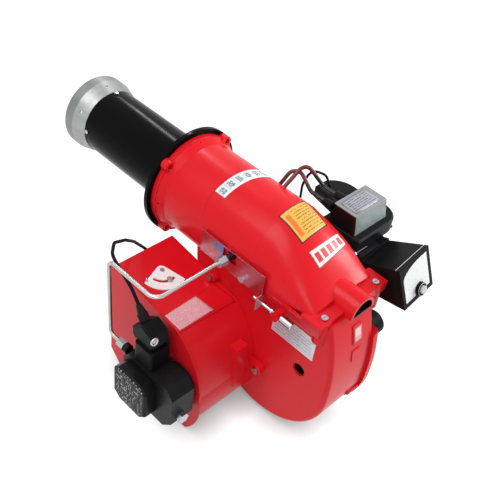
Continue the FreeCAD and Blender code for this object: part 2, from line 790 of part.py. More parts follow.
# Motor: drum with stator, rotor on two bearings, domed end cap and run capacitor
def make_motor():
    x = motor_face() + mm.seat_gap
    y = -mm.shaft_back
    z = -mm.shaft_down
    r = mm.motor_radius
    split = x + mm.motor_length - 28
    end = x + mm.motor_length
    race = 16.02
    drum = turned("motor_drum", (x, 10), [
        (x, r - 4), (x + 4, r), (split, r), (split, r - 4), (x + 6, r - 4), (x + 6, 20),
        (x + 20, 20), (x + 20, race), (x + 4, race), (x + 4, 10)], (0, y, z), "+X")
    lead_x, lead_y, lead_z = motor_lead_points()[0]
    hole = rod("drum_lead_hole", "sizes.sensor_radius + 0.05", 20, (lead_x, lead_y, lead_z - 5), "+Z")
    finish(cut("motor_drum_bored", drum, hole), "motor_shell")
    finish(turned("motor_cap", (end, 0), [
        (end, r - 16), ("arc", (end - 4.7, r - 4.7), (end - 16, r)), (split + 0.3, r),
        (split + 0.3, r - 4), (end - 17, r - 4), (end - 4, r - 17), (end - 4, 20), (end - 20, 20),
        (end - 20, race), (end - 4, race), (end - 4, 0)], (0, y, z), "+X"), "motor_end_cap")
    finish(turned("stator", (x + 30, 36), [
        (x + 30, r - 12), (x + 38, r - 4.3), (split - 12, r - 4.3), (split - 4, r - 12),
        (split - 4, 36)], (0, y, z), "+X"), "motor_stator")
    s = mm.shaft_radius
    finish(turned("rotor", (-43, 0), [
        (-43, s), (x + 34, s), (x + 36, 35), (split - 10, 35), (split - 8, s),
        (end - 5, s), (end - 5, 0)], (0, y, z), "+X"), "motor_rotor")
    rings = []
    for number, start in enumerate((x + 4.1, end - 16)):
        outer = rod(f"bearing_skin{number}", 16, 11.8, (start, y, z), "+X")
        bore = rod(f"bearing_bore{number}", "sizes.shaft_radius + sizes.running_gap", 11.8, (start, y, z), "+X")
        rings.append(cut(f"bearing{number}", outer, bore))
    finish(group("bearing_set", *rings), "motor_bearings")

    can_y = y - r - 36
    can_z = z - 9
    finish(turned("capacitor", (x + 16, 0), [
        (x + 16, 20), (x + 18, 22), (x + 116, 22), (x + 118, 20), (x + 118, 0)],
        (0, can_y, can_z), "+X"), "motor_capacitor")
    band = rod("clip_band", 24.5, 18, (x + 50, can_y, can_z), "+X")
    foot = block("clip_foot", (x + 50, can_y + 8, can_z - 7), (x + 68, y - r + 14, can_z + 9))
    clear = rod("clip_drum_clear", r + 0.3, 40, (x + 40, y, z), "+X")
    bore = rod("clip_bore", 22.3, 40, (x + 40, can_y, can_z), "+X")
    finish(cut("clip", fuse("clip_solid", band, foot), clear, bore), "capacitor_clip")


# Coupling and pump shaft: plastic coupling between the motor shaft and the pump's shaft
def make_coupling():
    y = -mm.shaft_back
    z = -mm.shaft_down
    bore = mm.shaft_radius + 0.02
    finish(turned("coupling", (-172, 4.02), [
        (-172, 9), (-64, 9), (-60, 12), (-24, 12), (-24, bore), (-44, bore), (-44, 0),
        (-156, 0), (-156, 4.02)], (0, y, z), "+X"), "shaft_coupling")
    finish(rod("pump_drive", 4, 58, (-157, y, z), "-X"), "pump_shaft")


def box_outline(grow):
    """Side outline of the intake box in (y, z), offset outward by grow."""
    front = -mm.box_front + grow
    rear = -mm.box_rear - grow
    top = -mm.box_top + grow
    back = -mm.box_front - mm.box_top_depth
    low = -mm.box_bottom - grow
    start = (front, top)
    steps = [
        (back, -mm.box_top_rear + grow),
        ("arc", (rear + 13, -mm.box_top_rear - 46 + grow * 0.6), (rear, -mm.box_top_rear - 104)),
        ("arc", (rear + 3, low + 34), (rear + 24, low)),
        (front - 24, low),
        (front, low + 24),
    ]
    return start, steps


# Intake box: red casting that brings air to the fan eye, with end plate and inlet grille
def make_intake():
    gap = mm.seat_gap
    right = -mm.scroll_left - gap
    wall = mm.box_wall
    y = -mm.shaft_back
    z = -mm.shaft_down
    skin = new_body("box_skin")
    start, steps = box_outline(0)
    pad(skin, "YZ_Plane", "-sizes.box_left", start, steps,
        "sizes.box_left - sizes.scroll_left - sizes.seat_gap")
    rib = block("box_rib", (-104, -243, -216), (-82, -200, -130))
    ears = [rod(f"ear{number}", 9, 12, (right, ey, ez), "-X") for number, (ey, ez) in enumerate(ear_spots())]
    (far_y, far_z) = ear_spots()[1]
    bridge = block("ear_bridge", (right - 12, far_y, far_z - 9), (right, far_y + 24, far_z + 9))
    solid = fuse("box_solid", skin, rib, bridge, *ears)
    hollow = new_body("box_hollow")
    start, steps = box_outline(-wall)
    pad(hollow, "YZ_Plane", "-sizes.box_left - 1", start, steps,
        "sizes.box_left + 1 - sizes.scroll_left - sizes.seat_gap - sizes.box_wall")
    boss = spindle_rod("box_spindle_boss", 8, -16, -1)
    shell = fuse("box_shell", cut("box_hollowed", solid, hollow), boss)
    tools = [
        rod("box_mouth", "sizes.eye_radius", 20, (right - 10, y, z), "+X"),
        block("box_window", (-158, -60, -234), (-82, -20, -118)),
        rod("box_lead_bore", 4.6, 20, (-88, -45, -102), "+Y"),
        spindle_rod("box_spindle_bore", 3.5 + mm.running_gap, -30, 20),
        spindle_rod("box_lock_bore", 2.2, -12, 20, dial_point(22, 262)),
    ]
    for number, (ey, ez) in enumerate(ear_spots()):
        tools.append(rod(f"ear_bore{number}", 2.75, 40, (right + 10, ey, ez), "-X"))
    finish(cut("intake_box_cut", shell, *tools), "intake_box")

    plate = new_body("end_plate_body")
    start, steps = box_outline(4)
    pad(plate, "YZ_Plane", "-sizes.box_left - sizes.seat_gap - sizes.end_plate", start, steps,
        "sizes.end_plate")
    finish(cut("end_plate_cut", plate, rod("end_plate_bore", 20, 20, (-mm.box_left - 8, y, z), "+X")),
           "intake_end_plate")

    grille = new_body("grille_sheet")
    pad(grille, "XZ_Plane", mm.box_front - gap - 1.5, (-164, -112),
        [(-164, -240), (-76, -240), (-76, -112)], 1.5)
    bars = []
    for row in range(8):
        low = -231 + row * 14.2
        bars.append(block(f"grille_slot{row}", (-158, -40, low), (-82, -30, low + 8)))
    finish(cut("grille_cut", grille, *bars), "intake_grille")


def dial_turn():
    """Turn that carries local Z to the normal of the sloping box top."""
    slope = math.degrees(math.atan2(mm.box_top_rear - mm.box_top, mm.box_top_depth))
    return FreeCAD.Rotation(V(1, 0, 0), slope)


def dial_origin():
    drop = (mm.box_top_rear - mm.box_top) * (mm.dial_back - mm.box_front) / mm.box_top_depth
    return V(-mm.dial_x, -mm.dial_back, -mm.box_top - drop)


def dial_point(radius, degrees):
    x, y = polar(radius, degrees)
    return V(x, y, 0)


def spindle_rod(name, radius, low, high, shift=V(0, 0, 0)):
    """A rod along the dial's axis, from low to high above the box top."""
    obj = doc.addObject("Part::Cylinder", name)
    obj.Radius = radius
    obj.Height = high - low
    turn = dial_turn()
    obj.Placement = FreeCAD.Placement(dial_origin() + turn.multVec(shift + V(0, 0, low)), turn)
    return obj


# Damper: white sector dial on a spindle that carries the air flap inside the box
def make_damper():
    turn = dial_turn()
    origin = dial_origin()
    dial = new_body("dial")
    low, high = 187, 300
    middle = (low + high) / 2
    pad(dial, "XY_Plane", mm.seat_gap, polar(38, low), [
        ("arc", polar(38, middle), polar(38, high)), polar(9, high + 65),
        ("arc", polar(9, middle + 180), polar(9, low - 65))], 1.6)
    pocket(dial, "XY_Plane", 0, 3, start=polar(19.4, 200), steps=[
        ("arc", polar(19.4, 242), polar(19.4, 284)), ("arc", polar(22, 291), polar(24.6, 284)),
        ("arc", polar(24.6, 242), polar(24.6, 200)), ("arc", polar(22, 193), polar(19.4, 200))])
    pocket(dial, "XY_Plane", 0, 3, spots=[(0, 0, 3.52)])
    dial.Placement = FreeCAD.Placement(origin, turn)
    finish(dial, "air_dial")

    stem = spindle_rod("stem", 3.5, -150, 3.5)
    flap = block("flap", (-36, -0.8, -146), (36, 0.8, -20))
    flap.Placement = FreeCAD.Placement(origin + turn.multVec(V(-36, -0.8, -146)), turn)
    finish(fuse("damper_fused", stem, flap), "air_damper")

    screw_at = dial_point(22, 262)
    head = spindle_rod("lock_head", 4.5, 2.2, 5.5, screw_at)
    shank = spindle_rod("lock_shank", 2.1, -8, 3, screw_at)
    finish(fuse("lock_fused", head, shank), "dial_lock_screw")


# Oil pump: black cast body with cover, hub, ports and the magnet valve on top
def make_pump():
    gap = mm.seat_gap
    seat = -mm.box_left - gap - mm.end_plate - gap
    y = -mm.shaft_back
    z = -mm.shaft_down
    body = new_body("pump_block")
    pad(body, "YZ_Plane", seat - 50, (-128, -150), [
        (-140, -136), (-226, -136), (-240, -152), (-240, -205), (-222, -224), (-142, -224),
        (-128, -210)], 42)
    hub = rod("pump_pilot", 19.7, 6, (seat - 1, y, z), "+X")
    foot = rod("pump_foot", 30, 9, (seat, y, z), "-X")
    port = rod("port_boss", 8, 9, (-mm.pipe_x, -129, -mm.port_down), "+Y")
    bore = rod("pump_shaft_bore", 4 + mm.running_gap, 60, (seat - 44, y, z), "+X")
    seat_bore = rod("port_seat", mm.pipe_radius + 0.2, 10, (-mm.pipe_x, -126, -mm.port_down), "+Y")
    finish(cut("pump_cut", fuse("pump_solid", body, hub, foot, port), bore, seat_bore), "pump_body")

    cover = new_body("pump_lid")
    outer = seat - 50 - gap
    pad(cover, "YZ_Plane", outer - 21, (-131, -158), [
        (-142, -147), (-192, -147), (-204, -158), (-204, -208), (-192, -220), (-146, -220),
        (-131, -208)], 21)
    fillet(cover, 4.0, on_level("x", outer - 21))
    finish(cover, "pump_cover")

    coil = new_body("coil_block")
    pad(coil, "XY_Plane", -136 + gap, (-228, -150), [(-228, -188), (-190, -188), (-190, -150)], 37.4)
    fillet(coil, 5.0, along_axis("z", 20))
    finish(coil, "valve_coil")
    plug = new_body("plug_block")
    pad(plug, "YZ_Plane", -224, (-146, -98), [
        (-182, -98), (-186, -90), (-182, -70), (-160, -62), (-140, -78), (-140, -92)], 31)
    fillet(plug, 3.0, on_level("x", -224))
    finish(plug, "coil_plug")

    nut = doc.addObject("Part::Prism", "gland_nut")
    nut.Polygon = 6
    nut.Circumradius = 9
    nut.Height = 12
    nose = doc.addObject("Part::Cone", "gland_nose")
    nose.Radius1 = 7
    nose.Radius2 = 4.2
    nose.Height = 14
    turn = FreeCAD.Rotation(V(0, 0, 1), GLAND_AXIS)
    nut.Placement = FreeCAD.Placement(GLAND_SEAT, turn)
    nose.Placement = FreeCAD.Placement(GLAND_SEAT + GLAND_AXIS * 12, turn)
    bore_end = GLAND_SEAT + GLAND_AXIS * 30
    bore = rod_between("gland_bore", mm.lead_radius + 0.05, tuple(GLAND_SEAT + GLAND_AXIS * 16), tuple(bore_end))
    finish(cut("gland", fuse("gland_solid", nut, nose), bore), "cable_gland")

    finish(group("pump_plug_set",
                 hexagon("pump_plug_rear", 16, 9, (-212, -240 - gap, -195), "-Y"),
                 hexagon("pump_plug_low", 14, 7, (-206, -180, -224 - gap), "-Z")), "pump_port_plugs")


GLAND_AXIS = V(0, 0.6247, 0.7809)
GLAND_SEAT = V(-208, -150, -70) + GLAND_AXIS * 0.3


# Oil line: steel pipe from the pump's pressure port to the union, and the valve's lead
def make_lines():
    gap = mm.seat_gap
    x = -mm.pipe_x
    back = -mm.line_back
    rise = mm.line_rise
    down = -mm.port_down
    nut_x = -UNION_X
    finish(bent_tube("oil_pipe_tube", [
        (x, -116, down), (x, -84, down), (x, -80, 3), (x, back, 4), (nut_x + 8, back, rise)],
        mm.pipe_radius, [10, 12, 15]), "oil_pipe")
    fit = mm.pipe_radius + 0.1
    first = cut("pressure_nut", hexagon("pressure_hex", 14, 14, (x, -120 + gap, down), "+Y"),
                rod("pressure_bore", fit, 30, (x, -125, down), "+Y"))
    second = cut("union_nut", hexagon("union_hex", 14, 14, (nut_x, back, rise), "+X"),
                 rod("union_bore", fit, 10, (nut_x - 2, back, rise), "+X"))
    finish(group("nut_set", first, second), "pipe_nuts")
    finish(rod("union_tube", 5, 27.4, (nut_x + 14 + gap, back, rise), "+X"), "union_adapter")

    start = GLAND_SEAT + GLAND_AXIS * 18
    ahead = GLAND_SEAT + GLAND_AXIS * 52
    finish(bent_tube("coil_lead_tube", [
        tuple(start), tuple(ahead), (-206, -70, -2), (-182, -44, -10), (-150, -30, -32),
        (-122, -16, -60), (-88, -6, -102), (-88, -42, -102)],
        mm.lead_radius, [25, 20, 25, 40, 40, 12]), "coil_lead")
    collar = turned("grommet", (-39.6, mm.lead_radius + 0.05), [
        (-39.6, 4.5), (-36 + gap, 4.5), (-36 + gap, 7), (-33, 7), (-31.5, 5),
        (-31.5, mm.lead_radius + 0.05)], (-88, 0, -102), "+Y")
    finish(collar, "lead_grommet")


# Nozzle line: brass line on the axis with its support, holder, nozzle and electrodes
def make_nozzle():
    back = -mm.line_back
    rise = mm.line_rise
    radius = mm.line_radius
    start = 14 - mm.duct_radius
    run = rod("line_cross", radius, -start, (start, back, rise), "+X")
    line = rod("line_run", radius, 168 - back, (0, back, 0), "+Y")
    elbow = rod("line_elbow", 10, 24, (0, back, -9), "+Z")
    finish(fuse("line_fused", run, line, elbow), "nozzle_line")
    finish(hexagon("holder", 16, 26, (0, 168.1, 0), "+Y"), "nozzle_holder")
    finish(turned("nozzle", (194.3, 0), [
        (194.3, 7.5), (203, 7.5), (205, 6), (210, 6), (213, 3), (213, 0)], (0, 0, 0), "+Y"), "oil_nozzle")

    inner = mm.tube_radius - mm.tube_wall - mm.seat_gap
    hub = rod("spider_hub", 10, 14, (0, 96, 0), "+Y")
    arms = []
    for turn in (30, 150, 270):
        arm = block(f"spider_arm{turn}", (0, 0, 0), (inner - 7, 10, 3))
        x, z = polar(7, turn)
        ax, az = polar(1.5, turn + 90)
        arm.Placement = FreeCAD.Placement(V(x - ax, 98, z - az), FreeCAD.Rotation(V(0, 1, 0), -turn))
        arms.append(arm)
    trim = common("spider_trim", fuse("spider_solid", hub, *arms), rod("spider_skin", inner, 40, (0, 80, 0), "+Y"))
    finish(cut("spider", trim, rod("spider_bore", radius + 0.05, 40, (0, 80, 0), "+Y")), "line_support")

    side_x, rod_z = ELECTRODE
    ceramics = []
    tips = []
    for side in (-1, 1):
        x = side * side_x
        ceramics.append(rod(f"ceramic{side + 1}", 5, 66, (x, 130, rod_z), "+Y"))
        tips.append(bent_tube(f"electrode{side + 1}", [(x, 196, rod_z), (x, 210, rod_z), (side * 2.5, 219, 9)], 1.1, [4]))
        tips.append(rod(f"electrode_stub{side + 1}", 1.1, 8, (x, 122, rod_z), "+Y"))
    finish(group("ceramic_set", *ceramics), "electrode_insulators")
    finish(group("electrode_set", *tips), "electrode_tips")
    bar = block("clamp_bar", (-18, 150, -9), (18, 162, 25))
    holes = [rod("clamp_line_hole", radius + 0.05, 20, (0, 146, 0), "+Y")]
    holes += [rod(f"clamp_hole{side + 1}", 5.05, 20, (side * side_x, 146, rod_z), "+Y") for side in (-1, 1)]
    finish(cut("clamp_cut", bar, *holes), "electrode_clamp")


# Offsets of the two electrodes from the tube axis, in X and Z
ELECTRODE = (10, 17)


def lead_points():
    """Routes of the two ignition leads, from the electrodes to the transformer boots."""
    x, z = ELECTRODE
    near = SIDE + 3
    far = SIDE + 29
    return [
        [(x, 121.7, z), (x, -80, z), (44, -138, 31), (near - 2, -150, 84), (near, -184, 50), (near, -222, 50)],
        [(-x, 121.7, z), (-x, -90, z), (34, -156, 45), (near + 6, -160, 88), (far, -188, 50), (far, -222, 50)],
    ]


def motor_lead_points():
    """Route of the motor's lead, from the drum up beside the duct to the terminal block."""
    side = SIDE + 11
    return [(60, -175, -112), (60, -175, -86), (side, -164, -50), (side, -160, 46), (side + 8, -166, 74),
            (side + 30, -180, 62), (side + 44, -190, 20)]


# Regulator: sheet bracket, bolt, push rod and flame disc, moved by the adjusting screw
def make_regulator():
    x = -SIDE
    thick = mm.bracket_thick
    top = mm.bracket_top
    back = -mm.line_back
    bolt_y, bolt_z = -212, ROD_Z
    sheet_body = new_body("bracket_sheet")
    pad(sheet_body, "YZ_Plane", x - thick, (-122, top), [
        (-250, top), (-250, -29), (-238, -29), (-238, -24), (-120, -24), (-120, -2)], thick)
    window = block("bracket_window", (x - 5, back - 14, -4), (x + 5, back + 14, 14))
    hole = rod("bracket_hole", 3.05, 10, (x - 5, bolt_y, bolt_z), "+X")
    flange = block("bracket_flange", (x - 13, -250, -42), (x + 4.5, -248, -20))
    flange_bore = rod("bracket_flange_bore", "sizes.screw_radius + sizes.running_gap", 20,
                      (-SCREW_X, -240, -mm.screw_drop), "-Y")
    finish(cut("bracket", fuse("bracket_solid", sheet_body, flange), window, hole, flange_bore),
           "regulator_bracket")

    head = hexagon("slider_head", 10, 6, (x - thick - 0.05, bolt_y, bolt_z), "-X")
    shank = rod("slider_shank", 3, SIDE + thick - ROD_X + 6.5, (x - thick - 0.05, bolt_y, bolt_z), "+X")
    finish(fuse("slider_bolt_fused", head, shank), "slider_bolt")

    bar = rod("push_bar", "sizes.screw_radius", 409, (-ROD_X, -204, bolt_z), "+Y")
    end = block("push_block", (-ROD_X - 8, -220, bolt_z - 8), (6.6 - ROD_X, -204, bolt_z + 8))
    bolt_bore = rod("push_bolt_bore", 3.05, 40, (-ROD_X - 16, bolt_y, bolt_z), "+X")
    finish(cut("push_rod_cut", fuse("push_rod_solid", bar, end), bolt_bore), "push_rod")

    disc = new_body("disc")
    pad_circles(disc, "XZ_Plane", -207, [(0, 0, mm.tube_radius - 7)], 2)
    window = block("disc_window", (-13, 200, 0), (13, 212, 21))
    vanes = []
    for turn in range(8):
        vane = block(f"disc_slot{turn}", (24, -1.2, -6), (mm.tube_radius - 17, 1.2, 6))
        angle = 22.5 + 45 * turn
        vx, vz = polar(24, angle)
        sx, sz = polar(1.2, angle + 90)
        vane.Placement = FreeCAD.Placement(V(vx - sx, 200, vz - sz), FreeCAD.Rotation(V(0, 1, 0), -angle))
        vane.Width = 12
        vane.Height = 2.4
        vanes.append(vane)
    bore = rod("disc_bore", 16, 12, (0, 200, 0), "+Y")
    finish(cut("disc_cut", disc, bore, window, *vanes), "diffuser_disc")

    s = mm.screw_radius
    finish(turned("adjuster", (-312, 0), [
        (-312, 4.6), (-311, 5.6), (-291, 5.6), (-291, s), (-275, s), (-275, 5), (-272, 5),
        (-272, s), (-237, s), (-236, s - 1), (-236, 0)], (-SCREW_X, 0, -mm.screw_drop), "+Y"),
        "regulator_screw")


# Frame of the control box: leaned back, turned a little about its face, centred on its base
BOX_TURN = FreeCAD.Rotation(V(1, 0, 0), 70.1) * FreeCAD.Rotation(V(0, 0, 1), 7)
BOX_SEAT = V(SIDE + 38, -mm.box_back, -mm.box_drop)


def tilted(obj, shift=V(0, 0, 0)):
    """Places an object in the control box's frame: local Z points out of its face."""
    obj.Placement = FreeCAD.Placement(BOX_SEAT + BOX_TURN.multVec(shift), BOX_TURN)
    return obj


# Electrics: folded sheet bracket, transformer on its tray, ignition leads and control box
def make_electrics():
    gap = mm.seat_gap
    leg = block("bracket_leg", (SIDE, -318, -62), (SIDE + SHEET, -215, SHEET))
    shelf = block("bracket_shelf", (SIDE, -290, 0), (SIDE + 97, -217, SHEET))
    back = tilted(block("bracket_back", (0, 0, 0), (76.5, 64, 2)), V(-38.5, -32, -2))
    behind = tilted(block("bracket_behind", (0, 0, 0), (300, 300, 200)), V(-150, -150, 0))
    beside = block("bracket_beside", (0, -400, -200), (SIDE, 0, 200))
    bores = [rod(f"leg_bore{number}", 2.75, 40, (SIDE - 19, y, z), "+X")
             for number, (y, z) in enumerate(leg_spots())]
    finish(cut("electrics_bracket_cut", fuse("bracket_folded", leg, shelf, back), behind, beside, *bores),
           "electrics_bracket")

    tray = new_body("tray")
    low = SHEET + gap
    pad(tray, "XY_Plane", low, (SIDE, -215), [
        (SIDE + 71, -215), ("arc", (SIDE + 99, -226), (SIDE + 108, -252)),
        ("arc", (SIDE + 99, -279), (SIDE + 71, -290)), (SIDE, -290)], mm.tray_top - low)
    chamfer(tray, 3.0, on_level("z", mm.tray_top))
    finish(tray, "transformer_tray")
    block_low = mm.tray_top + gap
    finish(loft("coil_case", (SIDE + 0.5, -277, SIDE + 80, -227), block_low,
                (SIDE + 3, -272, SIDE + 77, -230), 58), "transformer_block")

    boots = []
    leads = []
    for number, points in enumerate(lead_points()):
        x, y, z = points[-1]
        shell = taper(f"boot{number}", 6, 8, 16.2, (x, y + 10, z), "-Y")
        bore = rod(f"boot_bore{number}", mm.ht_radius + 0.05, 12, (x, y + 11, z), "-Y")
        boots.append(cut(f"boot_cut{number}", shell, bore))
        leads.append(bent_tube(f"ht_lead{number}", points, mm.ht_radius, [60, 30, 14, 14]))
    finish(group("ht_lead_set", *leads), "ht_leads")
    finish(group("boot_set", *boots), "ht_boots")

    points = motor_lead_points()
    finish(bent_tube("motor_lead_tube", points, mm.sensor_radius, [14, 20, 40, 14, 20]), "motor_lead")
    terminal = new_body("terminal_case")
    pad(terminal, "XY_Plane", low, (SIDE + 38, -215 + gap), [
        (SIDE + 97, -215 + gap), ("arc", (SIDE + 96, -178), (SIDE + 74, -158)), (SIDE + 50, -158)], 22)
    fillet(terminal, 3.0, on_level("z", low + 22))
    bore = rod_between("terminal_bore", mm.sensor_radius + 0.05, points[-1], points[-2])
    finish(cut("terminal_cut", terminal, bore), "terminal_block")

    base = tilted(block("control_base_block", (0, 0, 0), (68, 60, 14 - gap)), V(-34, -30, gap))
    finish(base, "control_base")
    case = tilted(loft("control_case", (-33, -27, 33, 27), 14 + 2 * gap, (-37, -36, 37, 36), 84))
    reset_x, reset_y = 3, -21
    collar = tilted(rod("reset_collar", 11, 6.5, (0, 0, 0)), V(reset_x, reset_y, 83.5))
    well = tilted(rod("reset_well", 6.5 + mm.running_gap, 14, (0, 0, 0)), V(reset_x, reset_y, 79.5))
    finish(cut("control_box_cut", fuse("control_box_solid", case, collar), well), "control_box")
    finish(tilted(rod("reset", 6.5, 10.5, (0, 0, 0)), V(reset_x, reset_y, 83)), "reset_button")


# Rating plate: blank plate on the scroll's left face
def make_plate():
    gap = mm.seat_gap
    left = -mm.scroll_left - gap
    top = -math.sqrt(mm.duct_radius ** 2 - (left - 1) ** 2) - 4.1
    finish(block("blank_plate", (left - 1, -345, top - 41), (left, -264, top)), "rating_plate")


make_tube()
make_cup()
make_casing()
make_cover()
make_motor_plate()
make_fan()
make_motor()
make_coupling()
make_intake()
make_damper()
make_pump()
make_lines()
make_nozzle()
make_regulator()
make_electrics()
make_plate()

doc.recompute()
for obj in doc.Objects:
    if "Invalid" in obj.State or "Error" in obj.State:
        raise RuntimeError(f"{obj.Label}: {obj.State}")
for obj in finished:
    shape = obj.Shape
    if shape.isNull() or not shape.isValid():
        raise RuntimeError(f"{obj.Label}: bad shape")
    shape.exportStep(f"parts/{obj.Label}.step")
print(f"{len(finished)} sub-parts written")
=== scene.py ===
import math
import random

import bmesh
import bpy
from mathutils import Matrix, Vector


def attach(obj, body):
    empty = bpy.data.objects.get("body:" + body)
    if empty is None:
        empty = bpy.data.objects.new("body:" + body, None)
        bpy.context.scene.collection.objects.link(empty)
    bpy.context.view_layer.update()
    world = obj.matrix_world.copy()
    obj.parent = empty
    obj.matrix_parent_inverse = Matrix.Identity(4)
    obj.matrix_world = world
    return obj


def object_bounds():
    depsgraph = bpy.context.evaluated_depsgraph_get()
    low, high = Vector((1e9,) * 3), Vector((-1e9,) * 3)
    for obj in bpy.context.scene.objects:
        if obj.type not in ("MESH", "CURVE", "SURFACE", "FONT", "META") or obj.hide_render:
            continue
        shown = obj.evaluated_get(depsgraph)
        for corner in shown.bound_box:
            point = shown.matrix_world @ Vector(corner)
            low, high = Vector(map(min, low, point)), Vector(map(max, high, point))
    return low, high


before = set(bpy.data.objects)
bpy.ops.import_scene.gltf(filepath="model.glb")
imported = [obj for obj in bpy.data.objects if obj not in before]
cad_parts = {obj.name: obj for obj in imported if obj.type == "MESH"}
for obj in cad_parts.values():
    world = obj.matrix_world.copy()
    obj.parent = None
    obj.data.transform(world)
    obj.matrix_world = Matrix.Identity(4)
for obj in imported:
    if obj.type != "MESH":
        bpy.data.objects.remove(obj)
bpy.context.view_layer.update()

# Camera: it stands above the intake box and looks down along the blast tube, as the photograph
# does. The lens comes from the photograph's width and the focal length, both in pixels.
photo_width = 500
focal_length = 771.603
film_width = 36
pivot = Vector((0, -0.15, -0.06))
azimuth = math.radians(-50.865)
elevation = math.radians(41.5622)
roll = math.radians(8.9398)
to_right, to_top, distance = 0.001687, 0.008158, 1.214176
level = Vector((math.cos(azimuth), math.sin(azimuth), 0))
back = Vector((math.sin(azimuth) * math.cos(elevation),
               -math.cos(azimuth) * math.cos(elevation), math.sin(elevation)))
upright = back.cross(level)
right = level * math.cos(roll) + upright * math.sin(roll)
up = upright * math.cos(roll) - level * math.sin(roll)
stand = pivot + right * to_right + up * to_top + back * distance
lens = bpy.data.cameras.new("camera")
lens.sensor_width = film_width
lens.lens = film_width * focal_length / photo_width
lens.clip_start = 0.05
camera = bpy.data.objects.new("camera", lens)
camera.matrix_world = (Matrix.Translation(stand)
                       @ Matrix((right, up, back)).transposed().to_4x4())
bpy.context.scene.collection.objects.link(camera)
bpy.context.scene.camera = camera
bpy.context.scene.view_settings.view_transform = "Standard"


# Floor and studio: a wide white sheet under the burner keeps a soft shadow, and its glow is
# darkened near the burner as a painted contact shadow; it shows white to the camera and in glossy
# metal. Four soft boxes and an even white room light it at a plain level.
class Value:
    """What a socket gives, in a material or in the room. Arithmetic on it adds the Math nodes."""

    def __init__(self, nodes, socket):
        self.nodes = nodes
        self.socket = socket

    def calculate(self, operation, first, second=0.0):
        return self.nodes.node("ShaderNodeMath", {"operation": operation}, {0: first, 1: second})

    def __add__(self, other):
        return self.calculate("ADD", self, other)

    def __radd__(self, other):
        return self.calculate("ADD", other, self)

    def __sub__(self, other):
        return self.calculate("SUBTRACT", self, other)

    def __rsub__(self, other):
        return self.calculate("SUBTRACT", other, self)

    def __mul__(self, other):
        return self.calculate("MULTIPLY", self, other)

    def __rmul__(self, other):
        return self.calculate("MULTIPLY", other, self)

    def __truediv__(self, other):
        return self.calculate("DIVIDE", self, other)

    def __gt__(self, other):
        return self.calculate("GREATER_THAN", self, other)

    def __lt__(self, other):
        return self.calculate("LESS_THAN", self, other)

    def inside(self, low, high):
        """1 between two limits, 0 outside."""
        return (self > low) * (self < high)

    def larger(self, other):
        return self.calculate("MAXIMUM", self, other)

    def smaller(self, other):
        return self.calculate("MINIMUM", self, other)

    def root(self):
        return self.calculate("SQRT", self)

    def angle(self, across):
        """The angle about an axis, from the rise and the reach across."""
        return self.calculate("ARCTAN2", self, across)

    def whole(self):
        return self.calculate("FLOOR", self)

    def part(self):
        return self.calculate("FRACT", self)


class Nodes:
    """The nodes of a material or of the room."""

    def __init__(self, tree):
        self.tree = tree

    def fill(self, socket, value):
        if isinstance(value, Value):
            self.tree.links.new(value.socket, socket)
        else:
            socket.default_value = value

    def node(self, kind, settings=None, sockets=None, out=0):
        """Adds a node: its settings first, then the values or links of its sockets."""
        node = self.tree.nodes.new(kind)
        for setting, value in (settings or {}).items():
            setattr(node, setting, value)
        for socket, value in (sockets or {}).items():
            self.fill(node.inputs[socket], value)
        return Value(self, node.outputs[out])

    def shown_white(self):
        """1 for rays that meet white: from the camera, off gloss or through glass."""
        straight, off_gloss, through_glass = [
            self.node("ShaderNodeLightPath", out=f"Is {kind} Ray")
            for kind in ("Camera", "Glossy", "Transmission")]
        return straight.larger(off_gloss).larger(through_glass)


class Finish(Nodes):
    """A procedural material."""

    def __init__(self, name, colour, roughness, metallic=0.0, **surface):
        self.material = bpy.data.materials.new(name)
        self.material.use_nodes = True
        super().__init__(self.material.node_tree)
        self.shader = self.tree.nodes["Principled BSDF"]
        self.surface("Base Color", (*colour, 1))
        self.surface("Roughness", roughness)
        self.surface("Metallic", metallic)
        for socket, value in surface.items():
            self.surface(socket.replace("_", " "), value)

    def surface(self, socket, value):
        self.fill(self.shader.inputs[socket], value)

    def place(self):
        """The point on the surface, in metres."""
        return self.node("ShaderNodeTexCoord", out="Object")

    def parts(self, of=None):
        """The three numbers of a point; the point on the surface unless another is given."""
        split = self.node("ShaderNodeSeparateXYZ", None, {0: of or self.place()})
        return [Value(self, split.socket.node.outputs[axis]) for axis in range(3)]

    def join(self, x, y, z=0.0):
        return self.node("ShaderNodeCombineXYZ", None, {0: x, 1: y, 2: z})

    def cloud(self, scale, detail=2.0, rough=0.5, at=None):
        return self.node("ShaderNodeTexNoise", None, {
            "Vector": at or self.place(), "Scale": scale, "Detail": detail, "Roughness": rough})

    def crystals(self, scale):
        return self.node("ShaderNodeTexVoronoi", None, {"Vector": self.place(), "Scale": scale})

    def blend(self, amount, first, second):
        tones = [(*tone, 1) if isinstance(tone, tuple) else tone for tone in (first, second)]
        return self.node("ShaderNodeMix", {"data_type": "RGBA"},
                         {0: amount, 6: tones[0], 7: tones[1]}, out=2)

    def paint(self, tone, *layers):
        """Base colour: a ground tone, then pairs of a mask and the tone that it lays on."""
        for mask, over in layers:
            tone = self.blend(mask, tone, over)
        self.surface("Base Color", tone)

    def painted(self):
        """The base colour that paint() has made."""
        return Value(self, self.shader.inputs["Base Color"].links[0].from_socket)

    def relief(self, height, strength, distance, rounding=None):
        """Raises the surface by a height; rounding is the width of the softened edges."""
        sockets = {"Strength": strength, "Distance": distance, "Height": height}
        if rounding:
            sockets["Normal"] = self.node("ShaderNodeBevel", {"samples": 4}, {"Radius": rounding})
        self.surface("Normal", self.node("ShaderNodeBump", None, sockets))
        return self


